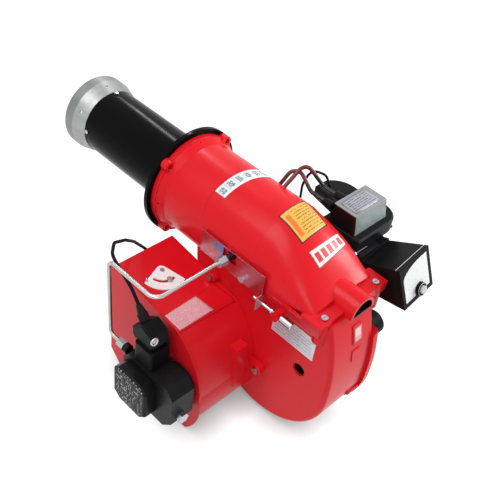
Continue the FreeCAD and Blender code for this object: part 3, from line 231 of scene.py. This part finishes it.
floor_gap = 0.0005
floor_reach = 4
floor_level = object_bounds()[0][2] - floor_gap
sheet = bpy.data.meshes.new("floor")
sheet.from_pydata([(x * floor_reach, y * floor_reach, floor_level)
                   for x, y in ((-1, -1), (1, -1), (1, 1), (-1, 1))], [], [(0, 1, 2, 3)])
floor = bpy.data.objects.new("floor", sheet)
bpy.context.scene.collection.objects.link(floor)
paper = Finish("white_sheet", (0.22, 0.22, 0.22), 0.9, Specular_IOR_Level=0.0)
shadow_reach = 0.05
# Ambient occlusion darkens the floor's glow within a short reach of the burner: a painted contact
# shadow.
open_sky = paper.node("ShaderNodeAmbientOcclusion", {"samples": 12},
                      {"Distance": shadow_reach}, out=1)
sheet_glow = paper.blend(paper.shown_white(), (0.50, 0.50, 0.50), (1.0, 1.0, 1.0))
paper.surface("Emission Color", paper.blend(open_sky, (0.05, 0.05, 0.05), sheet_glow))
paper.surface("Emission Strength", 0.99)
sheet.materials.append(paper.material)

room_light = 0.36
white = (1, 1, 1, 1)
room = bpy.data.worlds.new("studio")
bpy.context.scene.world = room
room.use_nodes = True
air = Nodes(room.node_tree)
lit = air.tree.nodes["Background"]
lit.inputs["Color"].default_value = white
lit.inputs["Strength"].default_value = room_light
shown = air.node("ShaderNodeBackground", None, {"Color": white, "Strength": 1})
choice = air.node("ShaderNodeMixShader", None, {
    0: air.shown_white(), 1: Value(air, lit.outputs[0]), 2: shown})
air.fill(air.tree.nodes["World Output"].inputs["Surface"], choice)

lamps_aim = Vector((0, -0.1, -0.03))
for name, spot, width, length, watts in (
        ("key_box", (-0.7, 0.1, 1.3), 0.9, 0.9, 12.5),
        ("tube_strip", (0.72, 0.95, 0.93), 0.10, 0.5, 3.5),
        ("tail_box", (1.04, -0.78, 0.50), 0.5, 0.5, 13),
        ("left_box", (-1.0, -1.1, 0.85), 0.7, 0.7, 5.5)):
    lamp = bpy.data.lights.new(name, "AREA")
    lamp.shape = "RECTANGLE"
    lamp.size = width
    lamp.size_y = length
    lamp.energy = watts
    box = bpy.data.objects.new(name, lamp)
    box.location = spot
    box.rotation_euler = (lamps_aim - Vector(spot)).to_track_quat("-Z", "Y").to_euler()
    bpy.context.scene.collection.objects.link(box)


# Red castings: fan casing, motor plate and intake box are sand-cast aluminium, machined where they
# meet and bolted together. They are sprayed with gloss red paint, which has a faint orange peel.
def dress(finish, *nodes):
    """Gives CAD nodes a finish."""
    for name in nodes:
        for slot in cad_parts[name].material_slots:
            slot.material = finish.material


def shade(tone, amount):
    """A lighter or darker step of a tone."""
    return tuple(part * amount for part in tone)


def red_paint(name):
    red = (0.74, 0.006, 0.014)
    warm_red = (red[0] * 1.06, red[1] * 1.9, red[2] * 1.5)
    paint = Finish(name, red, 0.3, Specular_IOR_Level=0.14, Coat_Weight=0.08, Coat_Roughness=0.16)
    drift = paint.cloud(14, 3)
    fleck = paint.cloud(420, 2)
    paint.paint(paint.blend(drift * 0.6 + fleck * 0.25, shade(red, 0.86), warm_red))
    paint.surface("Roughness", 0.26 + drift * 0.14)
    return paint.relief(paint.cloud(260, 3), 0.22, 0.0004, 0.0012)


casing_red = red_paint("red_casting_paint")
dress(casing_red, "fan_casing", "motor_plate", "intake_box", "intake_end_plate")


# Top cover: one casting in the same red paint, held down on the casing by two slotted screws.
# Its hood opens to the rear, and the paint inside its bore is painted near-black as painted shade.
hood_drop = 0.008
hood_bore = 0.0206
hood_from = -0.310
cover_red = red_paint("red_cover_paint")
x, y, z = cover_red.parts()
rise = z + hood_drop
hood_painted_shade = (x * x + rise * rise < hood_bore ** 2) * (y < hood_from)
# The hood's bore is painted near-black: painted shade.
cover_red.paint(cover_red.painted(), (hood_painted_shade, (0.012, 0.004, 0.006)))
dress(cover_red, "top_cover")


# Blast tube: a rolled steel tube and its flange plate, held by four countersunk screws. Gloss
# black enamel covers them, and runs thick over the rough bead that welds the tube to the flange.
enamel = Finish("black_enamel", (0.0026, 0.0026, 0.003), 0.14, Specular_IOR_Level=0.05)
enamel.surface("Roughness", 0.10 + enamel.cloud(30, 3) * 0.16)
enamel.relief(enamel.cloud(90, 4), 0.10, 0.0004, 0.0006)
dress(enamel, "blast_tube", "tube_flange", "flange_screws")


def piece(name, points, faces, finish, smooth=True, marks=None):
    """A mesh piece that rides on the frame; marks are the flat coordinates of its points."""
    mesh = bpy.data.meshes.new(name)
    mesh.from_pydata([tuple(point) for point in points], [], faces)
    if marks:
        flat = mesh.uv_layers.new(name="flat")
        for corner in mesh.loops:
            flat.data[corner.index].uv = marks[corner.vertex_index]
    made = bpy.data.objects.new(name, mesh)
    bpy.context.scene.collection.objects.link(made)
    solid = bmesh.new()
    solid.from_mesh(mesh)
    bmesh.ops.recalc_face_normals(solid, faces=solid.faces)
    solid.to_mesh(mesh)
    solid.free()
    mesh.polygons.foreach_set("use_smooth", [smooth] * len(mesh.polygons))
    mesh.materials.append(finish.material)
    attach(made, "frame")
    return made


def circle(centre, side, over, radius, ribs):
    """Points round a centre, in the plane of two ways."""
    turns = [math.tau * rib / ribs for rib in range(ribs)]
    return [centre + (side * math.cos(turn) + over * math.sin(turn)) * radius for turn in turns]


def wall(count, ribs, closed=False):
    """The faces between circles of points, with an end face where the row of circles is open."""
    faces = []
    for number in range(count if closed else count - 1):
        first, second = number * ribs, (number + 1) % count * ribs
        for rib in range(ribs):
            following = (rib + 1) % ribs
            faces.append((first + rib, second + rib, second + following, first + following))
    if not closed:
        faces += [tuple(range(ribs)), tuple(range((count - 1) * ribs, count * ribs))]
    return faces


def round_bar(name, line, radii, ribs, finish):
    """A bar along a line of points, closed where the line ends at its start."""
    closed = (line[0] - line[-1]).length < 1e-6
    count = len(line) - 1 if closed else len(line)
    points, side = [], None
    for number in range(count):
        before = line[number - 1] if closed or number else line[number]
        after = line[(number + 1) % count] if closed or number + 1 < count else line[number]
        run = (after - before).normalized()
        side = (side - run * side.dot(run) if points else run.orthogonal()).normalized()
        points += circle(line[number], side, run.cross(side), radii[number], ribs)
    return piece(name, points, wall(count, ribs, closed), finish)


bead_steps = 180
bead_radius = 0.0589
bead_rise = 0.0012
bead_size = 0.0026
random.seed(5)
swell = [bead_size * (1 + 0.22 * math.sin(turn * 1.9) + random.uniform(-0.14, 0.14))
         for turn in range(bead_steps)]
bead = [Vector((bead_radius * math.cos(math.tau * turn / bead_steps), bead_rise,
                bead_radius * math.sin(math.tau * turn / bead_steps)))
        for turn in range(bead_steps + 1)]
weld = Finish("enamelled_weld", (0.006, 0.006, 0.007), 0.1, Specular_IOR_Level=0.25)
weld.relief(weld.cloud(700, 3), 0.4, 0.0004)
round_bar("weld_bead", bead, swell, 10, weld)


# Combustion head: a cup of galvanised steel, spun over a form and screwed on the tube's end. The
# lathe's lines run round it and zinc spangles show in it. Broad light and dark streaks round it are
# painted reflections, and the skirt at its mouth is painted darker as painted shade.
steel = (0.36, 0.37, 0.37)
skirt_from = 0.2243
cup_steel = Finish("spun_galvanised_steel", steel, 0.4, 0.8)
x, y, z = cup_steel.parts()
turn = z.angle(x)
lines = cup_steel.cloud(1, 3, 0.6, at=cup_steel.join(turn * 1.2, y * 700))
reflection_streak = cup_steel.cloud(1, 2, 0.6, at=cup_steel.join(turn * 2.2, y * 12))
# Broad dark-to-light streaks round the cup are painted reflections, and the darker skirt past
# skirt_from is painted shade; the lathe's lines and spangles are the steel's own marks.
cup_steel.paint(cup_steel.blend(reflection_streak, shade(steel, 0.55), shade(steel, 1.7)),
                (lines * 0.35 + cup_steel.crystals(260) * 0.15, shade(steel, 0.5)),
                ((y > skirt_from) * 0.55, shade(steel, 0.45)))
cup_steel.surface("Roughness", 0.34 + lines * 0.25)
cup_steel.relief(lines, 0.15, 0.0003, 0.0006)
dress(cup_steel, "flame_cup")


# Plated and turned fittings: screws, nuts, bolts and the oil pipe are steel with a bright zinc
# plate, drawn or turned. The nozzle line is turned brass, and the union's adapter is blackened.
def plated(name, tone, dull=0.22):
    metal = Finish(name, tone, dull, 1.0)
    patch = metal.cloud(60, 3)
    scratch = metal.cloud(1, 2, 0.6, at=metal.node(
        "ShaderNodeVectorMath", {"operation": "MULTIPLY"}, {0: metal.place(), 1: (900, 90, 900)}))
    metal.paint(metal.blend(patch, shade(tone, 0.8), tone))
    metal.surface("Roughness", dull - 0.04 + scratch * 0.14)
    return metal.relief(scratch, 0.08, 0.0002, 0.0003)


bright_zinc = plated("bright_zinc", (0.52, 0.54, 0.57))
dress(bright_zinc, "slider_bolt", "push_rod", "regulator_screw", "pipe_nuts", "case_screws",
      "cup_screws", "dial_lock_screw", "diffuser_disc", "line_support", "electrode_clamp",
      "pump_shaft", "pump_port_plugs", "air_damper")
dress(plated("drawn_pipe_steel", (0.50, 0.51, 0.49), 0.26), "oil_pipe")
dress(plated("turned_brass", (0.78, 0.56, 0.24), 0.25), "nozzle_line", "nozzle_holder",
      "oil_nozzle", "electrode_tips")
dress(plated("blackened_steel", (0.06, 0.07, 0.08), 0.3), "union_adapter")


# Regulator bracket: bent zinc-plated sheet that slides on the casing's left side. Its mottled red
# is a painted reflection of the red paint round it, and a blue patch beside the union is a painted
# blue glint.
glint_y, glint_z = 0.163, 0.007
reflecting_zinc = plated("zinc_sheet_painted_reflections", (0.50, 0.16, 0.20), 0.2)
_, y, z = reflecting_zinc.parts()
along = (y + glint_y + reflecting_zinc.cloud(60, 2) * 0.006) * 42
rise = (z - glint_z) * 95
away = along * along + rise * rise
reflection_mottle = reflecting_zinc.cloud(90, 4, 0.6)
# Mottled dark and pale red is a painted reflection of the red castings, and the blue spot near the
# union is a painted glint.
reflecting_zinc.paint(reflecting_zinc.blend(reflection_mottle, (0.42, 0.05, 0.08), (0.62, 0.30, 0.34)),
            (1 - (away * away).smaller(1.0), (0.16, 0.25, 0.50)))
reflecting_zinc.surface("Roughness", 0.14 + reflection_mottle * 0.14)
dress(reflecting_zinc, "regulator_bracket")


# Black mouldings and castings: pump, coil, plug, tray and boxes, die-cast or moulded in black and
# screwed or plugged on, each with its own grain. Leads, boots and capacitor are in soft rubber.
def black_grain(name, tone, roughness, grain, strength, gloss=0.06):
    skin = Finish(name, tone, roughness, Specular_IOR_Level=gloss)
    dust = skin.cloud(45, 3)
    skin.paint(skin.blend(dust, tone, tuple(part * 1.7 + 0.002 for part in tone)))
    skin.surface("Roughness", roughness - 0.06 + dust * 0.16)
    return skin.relief(skin.cloud(grain, 3), strength, 0.0004, 0.0008)


pump_black = (0.004, 0.004, 0.0045)
dress(black_grain("black_pump_casting", pump_black, 0.36, 300, 0.5, 0.12), "pump_body")
dress(black_grain("black_coil_moulding", pump_black, 0.34, 500, 0.15), "valve_coil", "coil_plug")
dress(black_grain("black_tray_moulding", (0.006, 0.0065, 0.007), 0.4, 420, 0.2),
      "transformer_tray", "terminal_block", "control_base", "intake_grille", "shaft_coupling")
dress(black_grain("black_box_moulding", (0.004, 0.0038, 0.004), 0.32, 460, 0.12), "control_box")
dress(black_grain("black_rubber", (0.005, 0.005, 0.0055), 0.5, 700, 0.12), "coil_lead",
      "lead_grommet", "ht_boots", "motor_lead", "motor_capacitor", "capacitor_clip")

gland = Finish("grey_gland_nylon", (0.007, 0.007, 0.008), 0.4, Specular_IOR_Level=0.12)
gland.relief(gland.cloud(500, 2), 0.2, 0.0003, 0.0006)
dress(gland, "cable_gland")


# Electrics bracket: folded steel sheet in black paint, screwed on behind the tray. Its short bent
# lip closes the gap to the control box.
def mm(*numbers):
    """A point or a way in metres, from millimetres."""
    return Vector(numbers) * 0.001


def prism(name, near, far, finish, marks=None):
    """A flat-faced piece between two outlines with as many points."""
    count = len(near)
    faces = [tuple(range(count)), tuple(range(count, 2 * count))]
    faces += [(i, (i + 1) % count, (i + 1) % count + count, i + count) for i in range(count)]
    return piece(name, near + far, faces, finish, smooth=False, marks=marks)


lip_thick = Vector((0, 0, 0.0015))
sheet_black = black_grain("black_sheet_paint", (0.005, 0.005, 0.006), 0.3, 380, 0.1)
dress(sheet_black, "electrics_bracket")
lip = [mm(79.6, -290, 2.4), mm(124, -290, 2.4), mm(124, -300, 2.0), mm(79.6, -300, -1.0)]
prism("bracket_lip", lip, [corner - lip_thick for corner in lip], sheet_black)


# Pump cover: a black casting held by the pump's screws. Rows of pale marks are etched in its
# outer face, too fine to be read.
etched_face = -0.2495
etched_from, etched_to = -0.198, -0.138
rows_per_metre = 170
etched = black_grain("black_pump_cover", pump_black, 0.36, 300, 0.4, 0.12)
x, y, z = etched.parts()
row = z * rows_per_metre
mark = etched.cloud(1, 2, 0.7, at=etched.join(y * 420, row.whole() * 3.7)) > 0.55
etching = mark * row.part().inside(0.25, 0.7) * (x < etched_face) * y.inside(etched_from, etched_to)
etched.paint(pump_black, (etching * 0.9, (0.62, 0.62, 0.63)))
dress(etched, "pump_cover")


# Ignition leads: high-voltage wire in dark red silicone, pushed into the tube's electrodes. They
# end in black sleeves at the transformer.
sleeve_black = (0.005, 0.005, 0.006)
sleeves_from = -0.176
silicone = Finish("red_silicone", (0.10, 0.006, 0.010), 0.34, Specular_IOR_Level=0.45)
_, y, _ = silicone.parts()
sleeves = y < sleeves_from
silicone.paint(silicone.blend(silicone.cloud(120, 3), (0.085, 0.004, 0.008), (0.17, 0.012, 0.018)),
               (sleeves, sleeve_black))
silicone.relief(silicone.cloud(300, 2) + sleeves * 0.8, 0.2, 0.0006)
dress(silicone, "ht_leads")


# Transformer: a block potted in grey resin and set in its black tray. Its top is even grey, and
# its flanks are greenish and slightly cloudy, with a black one toward the casing.
top_from = 0.0565
black_flank_to = 0.0826
potting = Finish("grey_potting", (0.30, 0.31, 0.33), 0.3, Specular_IOR_Level=0.5)
x, _, z = potting.parts()
flank = z < top_from
flank_tone = potting.blend(potting.cloud(38, 4, 0.6), (0.10, 0.15, 0.14), (0.36, 0.45, 0.43))
potting.paint(potting.blend(potting.cloud(90, 2), (0.22, 0.225, 0.24), (0.30, 0.31, 0.33)),
              (flank, flank_tone), (flank * (x < black_flank_to), (0.004, 0.004, 0.005)))
potting.relief(potting.cloud(240, 2), 0.12, 0.0004, 0.0012)
dress(potting, "transformer_block")


# Damper dial: a stamped plate in white paint, turned by hand and clamped by the screw in its
# slot. A scale of ticks and a thin rim line are printed beside the slot.
dial_x, dial_y, dial_z = 0.122, 0.084, 0.0724
slope_along, slope_rise = 0.9912, 0.1322
scale_from, scale_to = 0.0300, 0.0330
rim_from, rim_to = 0.0353, 0.0356
dial_white = Finish("white_dial", (0.86, 0.87, 0.86), 0.35, Specular_IOR_Level=0.4)
x, y, z = dial_white.parts()
across = x + dial_x
along = (y + dial_y) * slope_along - (z + dial_z) * slope_rise
reach = (across * across + along * along).root()
ticks = (along.angle(across) * 17).part().inside(0.0, 0.12) * reach.inside(scale_from, scale_to)
rim_line = reach.inside(rim_from, rim_to)
dial_white.paint(dial_white.blend(dial_white.cloud(60, 2), (0.88, 0.88, 0.88), (0.95, 0.95, 0.95)),
                 (ticks.larger(rim_line) * 0.5, (0.25, 0.25, 0.27)))
dial_white.relief(dial_white.cloud(500, 2), 0.08, 0.0002, 0.0004)
dress(dial_white, "air_dial")


# Motor and fan: the motor's drum is in dark grey paint over drawn steel, the impeller is pressed
# aluminium, and the rotor and stator are stacks of thin steel sheets on ball bearings.
def grey_metal(name, tone, roughness, metallic, grain=220, strength=0.25):
    metal = Finish(name, tone, roughness, metallic)
    patch = metal.cloud(35, 3)
    metal.paint(metal.blend(patch, shade(tone, 0.8), shade(tone, 1.15)))
    metal.surface("Roughness", roughness - 0.05 + patch * 0.14)
    return metal.relief(metal.cloud(grain, 3), strength, 0.0004, 0.001)


dress(grey_metal("motor_drum_paint", (0.045, 0.047, 0.050), 0.4, 0.0),
      "motor_shell", "motor_end_cap")
dress(grey_metal("pressed_aluminium", (0.55, 0.56, 0.57), 0.38, 0.9), "fan_impeller")
dress(grey_metal("lamination_steel", (0.30, 0.29, 0.28), 0.45, 0.9), "motor_stator", "motor_rotor")
dress(grey_metal("bearing_steel", (0.60, 0.60, 0.60), 0.2, 1.0, 400, 0.05), "motor_bearings")


# Insulators, peep window and reset knob: glazed ceramic round the electrodes, a dark glass pressed
# into the cover, and a pale moulded knob in the control box's face.
ceramic = Finish("glazed_ceramic", (0.78, 0.76, 0.70), 0.22, Specular_IOR_Level=0.6)
ceramic.relief(ceramic.cloud(200, 2), 0.08, 0.0003)
dress(ceramic, "electrode_insulators")

glass = Finish("sight_glass", (0.015, 0.013, 0.03), 0.06, Specular_IOR_Level=0.8)
glass.surface("Roughness", 0.05 + glass.cloud(80, 2) * 0.06)
dress(glass, "peep_window")

knob = Finish("pale_reset_knob", (0.55, 0.56, 0.56), 0.35)
knob.relief(knob.cloud(300, 2), 0.1, 0.0003, 0.0008)
dress(knob, "reset_button")


# Plates on the top cover: thin sheets glued on the castings, printed with ruled lines, plain
# blocks and a border. An amber plate, a white plate with five red blocks, and a pale strip.
above_surface = 0.01


def laid(name, shape, node, finish, cells=(18, 12), lift=0.00012, thick=0.0004):
    """A sheet dropped on a CAD node; shape gives a point above it and the way down for u and v."""
    long, wide = cells
    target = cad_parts[node]
    into = target.matrix_world.inverted()
    top, low, marks = [], [], []
    for i in range(long + 1):
        for j in range(wide + 1):
            u, v = i / long, j / wide
            start, down = shape(u, v)
            found, spot, _, _ = target.ray_cast(into @ start, (into.to_3x3() @ down).normalized())
            spot = target.matrix_world @ spot if found else start + down * above_surface
            low.append(spot - down.normalized() * lift)
            top.append(spot - down.normalized() * (lift + thick))
            marks.append((u, v))
    deep = wide + 1
    count = len(top)
    faces = []
    for i in range(long):
        for j in range(wide):
            corner = i * deep + j
            square = (corner, corner + deep, corner + deep + 1, corner + 1)
            faces += [square, tuple(count + item for item in reversed(square))]
    edge = ([i * deep for i in range(long)] + [long * deep + j for j in range(wide)]
            + [i * deep + wide for i in range(long, 0, -1)] + list(range(wide, 0, -1)))
    for here, there in zip(edge, edge[1:] + edge[:1]):
        faces.append((here, there, there + count, here + count))
    return piece(name, top + low, faces, finish, marks=marks * 2)


def four_corners(first, second, third, fourth, down):
    """A shape for laid(): a flat patch between four corners in millimetres, over the surface."""
    corners = [mm(*corner) for corner in (first, second, third, fourth)]
    way = Vector(down).normalized()

    def shape(u, v):
        near = corners[0].lerp(corners[1], u)
        far = corners[3].lerp(corners[2], u)
        return near.lerp(far, v) - way * above_surface, way
    return shape


def label(name, ground, roughness=0.35):
    """A printed label's finish, and its flat coordinates."""
    finish = Finish(name, ground, roughness, Specular_IOR_Level=0.4)
    u, v, _ = finish.parts(finish.node("ShaderNodeTexCoord", out="UV"))
    return finish, u, v


def rules(finish, u, v, count, low, high, dense=0.45):
    """Ruled lines across a label, broken at random, between two limits of u."""
    row = v * count
    dash = finish.cloud(1, 1, 0.5, at=finish.join(u * 26, row.whole() * 5.3)) > dense
    return dash * row.part().inside(0.3, 0.66) * u.inside(low, high) * v.inside(0.08, 0.92)


def border(u, v, across, along):
    """1 in a frame round a label's edge."""
    return 1 - u.inside(across, 1 - across) * v.inside(along, 1 - along)


amber, u, v = label("amber_plate", (0.78, 0.42, 0.06))
lines = rules(amber, v, u, 11, 0.08, 0.72)
block = v.inside(0.80, 0.92) * u.inside(0.15, 0.85)
amber.paint(amber.blend(amber.cloud(70, 2), (0.70, 0.36, 0.05), (0.86, 0.50, 0.09)),
            (lines * 0.8, (0.16, 0.07, 0.01)), (block * 0.8, (0.75, 0.12, 0.02)),
            (border(u, v, 0.030, 0.030), (0.03, 0.012, 0.008)))
laid("amber_plate", four_corners((38.4, -205.4, 65.6), (34.8, -256.2, 55.9), (-25.6, -262.0, 56.5),
                                 (-24.7, -211.5, 71.9), (-0.06, 0.2, -1)),
     "top_cover", amber)

plate_white = (0.86, 0.84, 0.84)
blank, u, v = label("name_blank", plate_white)
bars = (u * 5.6 - 0.3).part().inside(0.10, 0.82) * u.inside(0.06, 0.94) * v.inside(0.24, 0.78)
blank.paint(plate_white, (bars, (0.62, 0.02, 0.03)), (border(u, v, 0.02, 0.05), (0.60, 0.10, 0.10)))
laid("name_blank", four_corners((-24.9, -274.0, 50.2), (43.7, -269.4, 45.7), (47.7, -286.9, 34.3),
                                (-23.8, -297.6, 34.4), (-0.1, 0.45, -0.85)),
     "top_cover", blank)

strip_start, strip_turn = 127, 72
strip_height = 0.085


def strip_shape(u, v):
    """The strip over the cover's front edge: u runs over the arch, v to the rear."""
    turn = math.radians(strip_start - strip_turn * u)
    out = Vector((math.cos(turn), 0, math.sin(turn)))
    y = -0.001 * (105.4 + 6.2 * u + v * (20.5 + 3.0 * u))
    return out * strip_height + Vector((0, y, 0)), -out


strip_white = (0.84, 0.86, 0.87)
strip, u, v = label("white_strip", strip_white)
cell = (u * 6).part()
dots = strip.cloud(1, 1, at=strip.join(u * 60, v * 7)) > 0.44
wash = strip.cloud(1, 1, at=strip.join(u * 20, v * 3)) > 0.5
washed = v.inside(0.16, 0.84) * u.inside(0.05, 0.95) * wash
printed = cell.inside(0.16, 0.74) * v.inside(0.20, 0.78) * dots
dividers = cell.inside(0.0, 0.03) * v.inside(0.1, 0.9)
strip.paint(strip_white, (washed * 0.5, (0.45, 0.66, 0.68)), (printed * 0.8, (0.08, 0.10, 0.12)),
            (dividers, (0.30, 0.32, 0.34)))
laid("icon_strip", strip_shape, "top_cover", strip, (40, 6))


# Pad highlight and foil: a thin pale pink sheet on the casing's rear pad is a painted highlight,
# and a crumpled clear foil is stuck on the intake box. Its facets run from red, the paint showing
# through, to pale pink, which with its pale specks is painted reflection and painted glints.
pad_highlight, u, v = label("pad_painted_highlight", (0.80, 0.42, 0.42))
# The whole sheet is a painted highlight on the pad: pale pink, with a lighter band and a red edge.
pad_highlight.paint((0.80, 0.40, 0.40), (v.inside(0.12, 0.62), (0.86, 0.62, 0.62)),
          (border(u, v, 0.14, 0.08), (0.74, 0.10, 0.11)))
laid("pad_highlight_sheet", four_corners((-12.5, -369, -34), (5.0, -369, -34), (5.0, -374, -60),
                             (-12.5, -374, -60), (0, 1, -0.2)),
     "fan_casing", pad_highlight, (6, 8))

foil, _, _ = label("clear_foil", (0.80, 0.25, 0.28), 0.3)
facets = foil.crystals(620)
# The pale pink facet tones and pale specks are painted reflections and glints; the red is the paint
# under the clear foil.
foil.paint(foil.blend(facets, (0.60, 0.10, 0.14), (0.86, 0.50, 0.54)),
           ((foil.cloud(900, 2) > 0.56) * 0.55, (0.90, 0.78, 0.80)))
foil.relief(facets, 0.3, 0.0003)
laid("foil_patch", four_corners((-174, -153, -82), (-112, -151, -82), (-107, -185.5, -86),
                                (-173, -185.5, -86), (0, 0.13, -1)),
     "intake_box", foil, lift=0.0019)


# Rating plate and transformer label: a thin aluminium plate riveted on the scroll's left face,
# and a grey film on the transformer's top. Both carry ruled lines and a thin border alone.
plate_rear, plate_length = 0.345, 0.081
plate_foot, plate_height = 0.09, 0.041
plate_print = Finish("rating_print", (0.62, 0.66, 0.72), 0.3, 0.35)
_, y, z = plate_print.parts()
along, rise = (y + plate_rear) / plate_length, (z + plate_foot) / plate_height
lines = rules(plate_print, along, rise, 7, 0.06, 0.94, 0.42)
plate_print.paint(
    plate_print.blend(plate_print.cloud(60, 2), (0.52, 0.56, 0.62), (0.72, 0.75, 0.80)),
    (lines * 0.6, (0.20, 0.22, 0.28)), (border(along, rise, 0.02, 0.04) * 0.6, (0.80, 0.72, 0.74)))
dress(plate_print, "rating_plate")

coil_print, u, v = label("transformer_label", (0.42, 0.42, 0.45))
coil_print.paint((0.36, 0.36, 0.40),
                 (rules(coil_print, u, v, 8, 0.06, 0.9, 0.42) * 0.8, (0.03, 0.03, 0.04)),
                 (border(u, v, 0.03, 0.05), (0.24, 0.24, 0.26)))
laid("transformer_label", four_corners((88, -236, 58), (146, -234, 58), (148, -268, 58),
                                       (88, -268, 58), (0, 0, -1)),
     "transformer_block", coil_print, (4, 4))


# Control box face: a pale glued film, rounded at one corner and cut out about the reset knob, a
# fine moulded trim round the knob, and the pale seam where the lid meets the box.
box_seat = Vector((0.117, -0.298, -0.0346))
box_tilt = Matrix.Rotation(math.radians(70.1), 3, "X") @ Matrix.Rotation(math.radians(7), 3, "Z")
film_low, film_high = 84.1, 84.5
knob_x, knob_y = 3, -21
notch_radius = 11.4
trim_radius, trim_depth, trim_size, trim_steps = 10.2, 90.1, 0.0004, 40
seam_low, seam_high = 76.8, 77.5


def on_box(x, y, depth):
    """A point in the control box's own frame, from millimetres."""
    return box_seat + box_tilt @ Vector((x, y, depth)) * 0.001


def on_face(outline, depth):
    return [on_box(x, y, depth) for x, y in outline]


def about_knob(radius, turn):
    return knob_x + radius * math.cos(turn), knob_y + radius * math.sin(turn)


notch = [about_knob(notch_radius, math.radians(turn)) for turn in range(212, -33, -9)]
corner = [(16 - 47 * math.sin(math.radians(turn)), 12 + 18 * math.cos(math.radians(turn)))
          for turn in range(0, 91, 9)]
film = [(-31, -27)] + notch + [(29, -27), (29, 30)] + corner
film_white = (0.80, 0.84, 0.83)
face_print, u, v = label("control_label", film_white)
lines = rules(face_print, u, v, 13, 0.16, 0.80, 0.56)
face_print.paint(film_white, (lines * 0.22, (0.30, 0.34, 0.34)))
prism("control_label", on_face(film, film_low), on_face(film, film_high), face_print,
      [((x + 37) / 74, (y + 36) / 72) for x, y in film] * 2)

seam = Finish("lid_seam", (0.60, 0.61, 0.60), 0.3)
seam.relief(seam.cloud(300, 2), 0.1, 0.0002)
trim_line = [about_knob(trim_radius, math.tau * step / trim_steps) for step in range(trim_steps)]
trim = on_face(trim_line, trim_depth)
round_bar("reset_trim", trim + trim[:1], [trim_size] * trim_steps, 8, seam)
lid_edge = [(-36.7, 36.0), (36.7, 36.0), (36.7, 35), (-36.7, 35)]
prism("lid_seam", on_face(lid_edge, seam_low), on_face(lid_edge, seam_high), seam)


# Raised panel: a flat field on the intake box's top, cast with it in one piece, in front of its
# curved rear. The foil lies on it.
laid("box_panel", four_corners((-175.5, -152, -82), (-72, -150, -82), (-66, -191, -88),
                               (-175.5, -187.5, -86), (0, 0.13, -1)),
     "intake_box", casing_red, (40, 16), 0.0, 0.0018)


# Small fittings: the coil plug's cap screw is turned steel with a recess in its head, and the
# staple beside the dial is bent zinc-plated wire. Profile and points are in millimetres.
screw_at = mm(-218.7, -183.2, -78.0)
screw_ribs = 28
screw_profile = ((-0.6, 7.0), (1.4, 7.0), (2.0, 6.4), (2.0, 4.2), (1.1, 3.7), (1.1, 2.1),
                 (2.3, 1.8), (2.3, 0.2))
screw_axis = Vector((0, -0.98, 0.2)).normalized()
side = screw_axis.orthogonal().normalized()
points = []
for height, radius in screw_profile:
    points += circle(screw_at + screw_axis * height * 0.001, side, screw_axis.cross(side),
                     radius * 0.001, screw_ribs)
piece("plug_screw", points, wall(len(screw_profile), screw_ribs), bright_zinc)

staple_size = 0.0008
staple = [mm(-153, -82.5, -74), mm(-153, -82.5, -69), mm(-153.4, -83.6, -67.2),
          mm(-154.6, -87.0, -67.6), mm(-155.4, -89.4, -69.4), mm(-155.6, -89.8, -75)]
round_bar("wire_staple", staple, [staple_size] * len(staple), 10, bright_zinc)

bpy.context.view_layer.update()
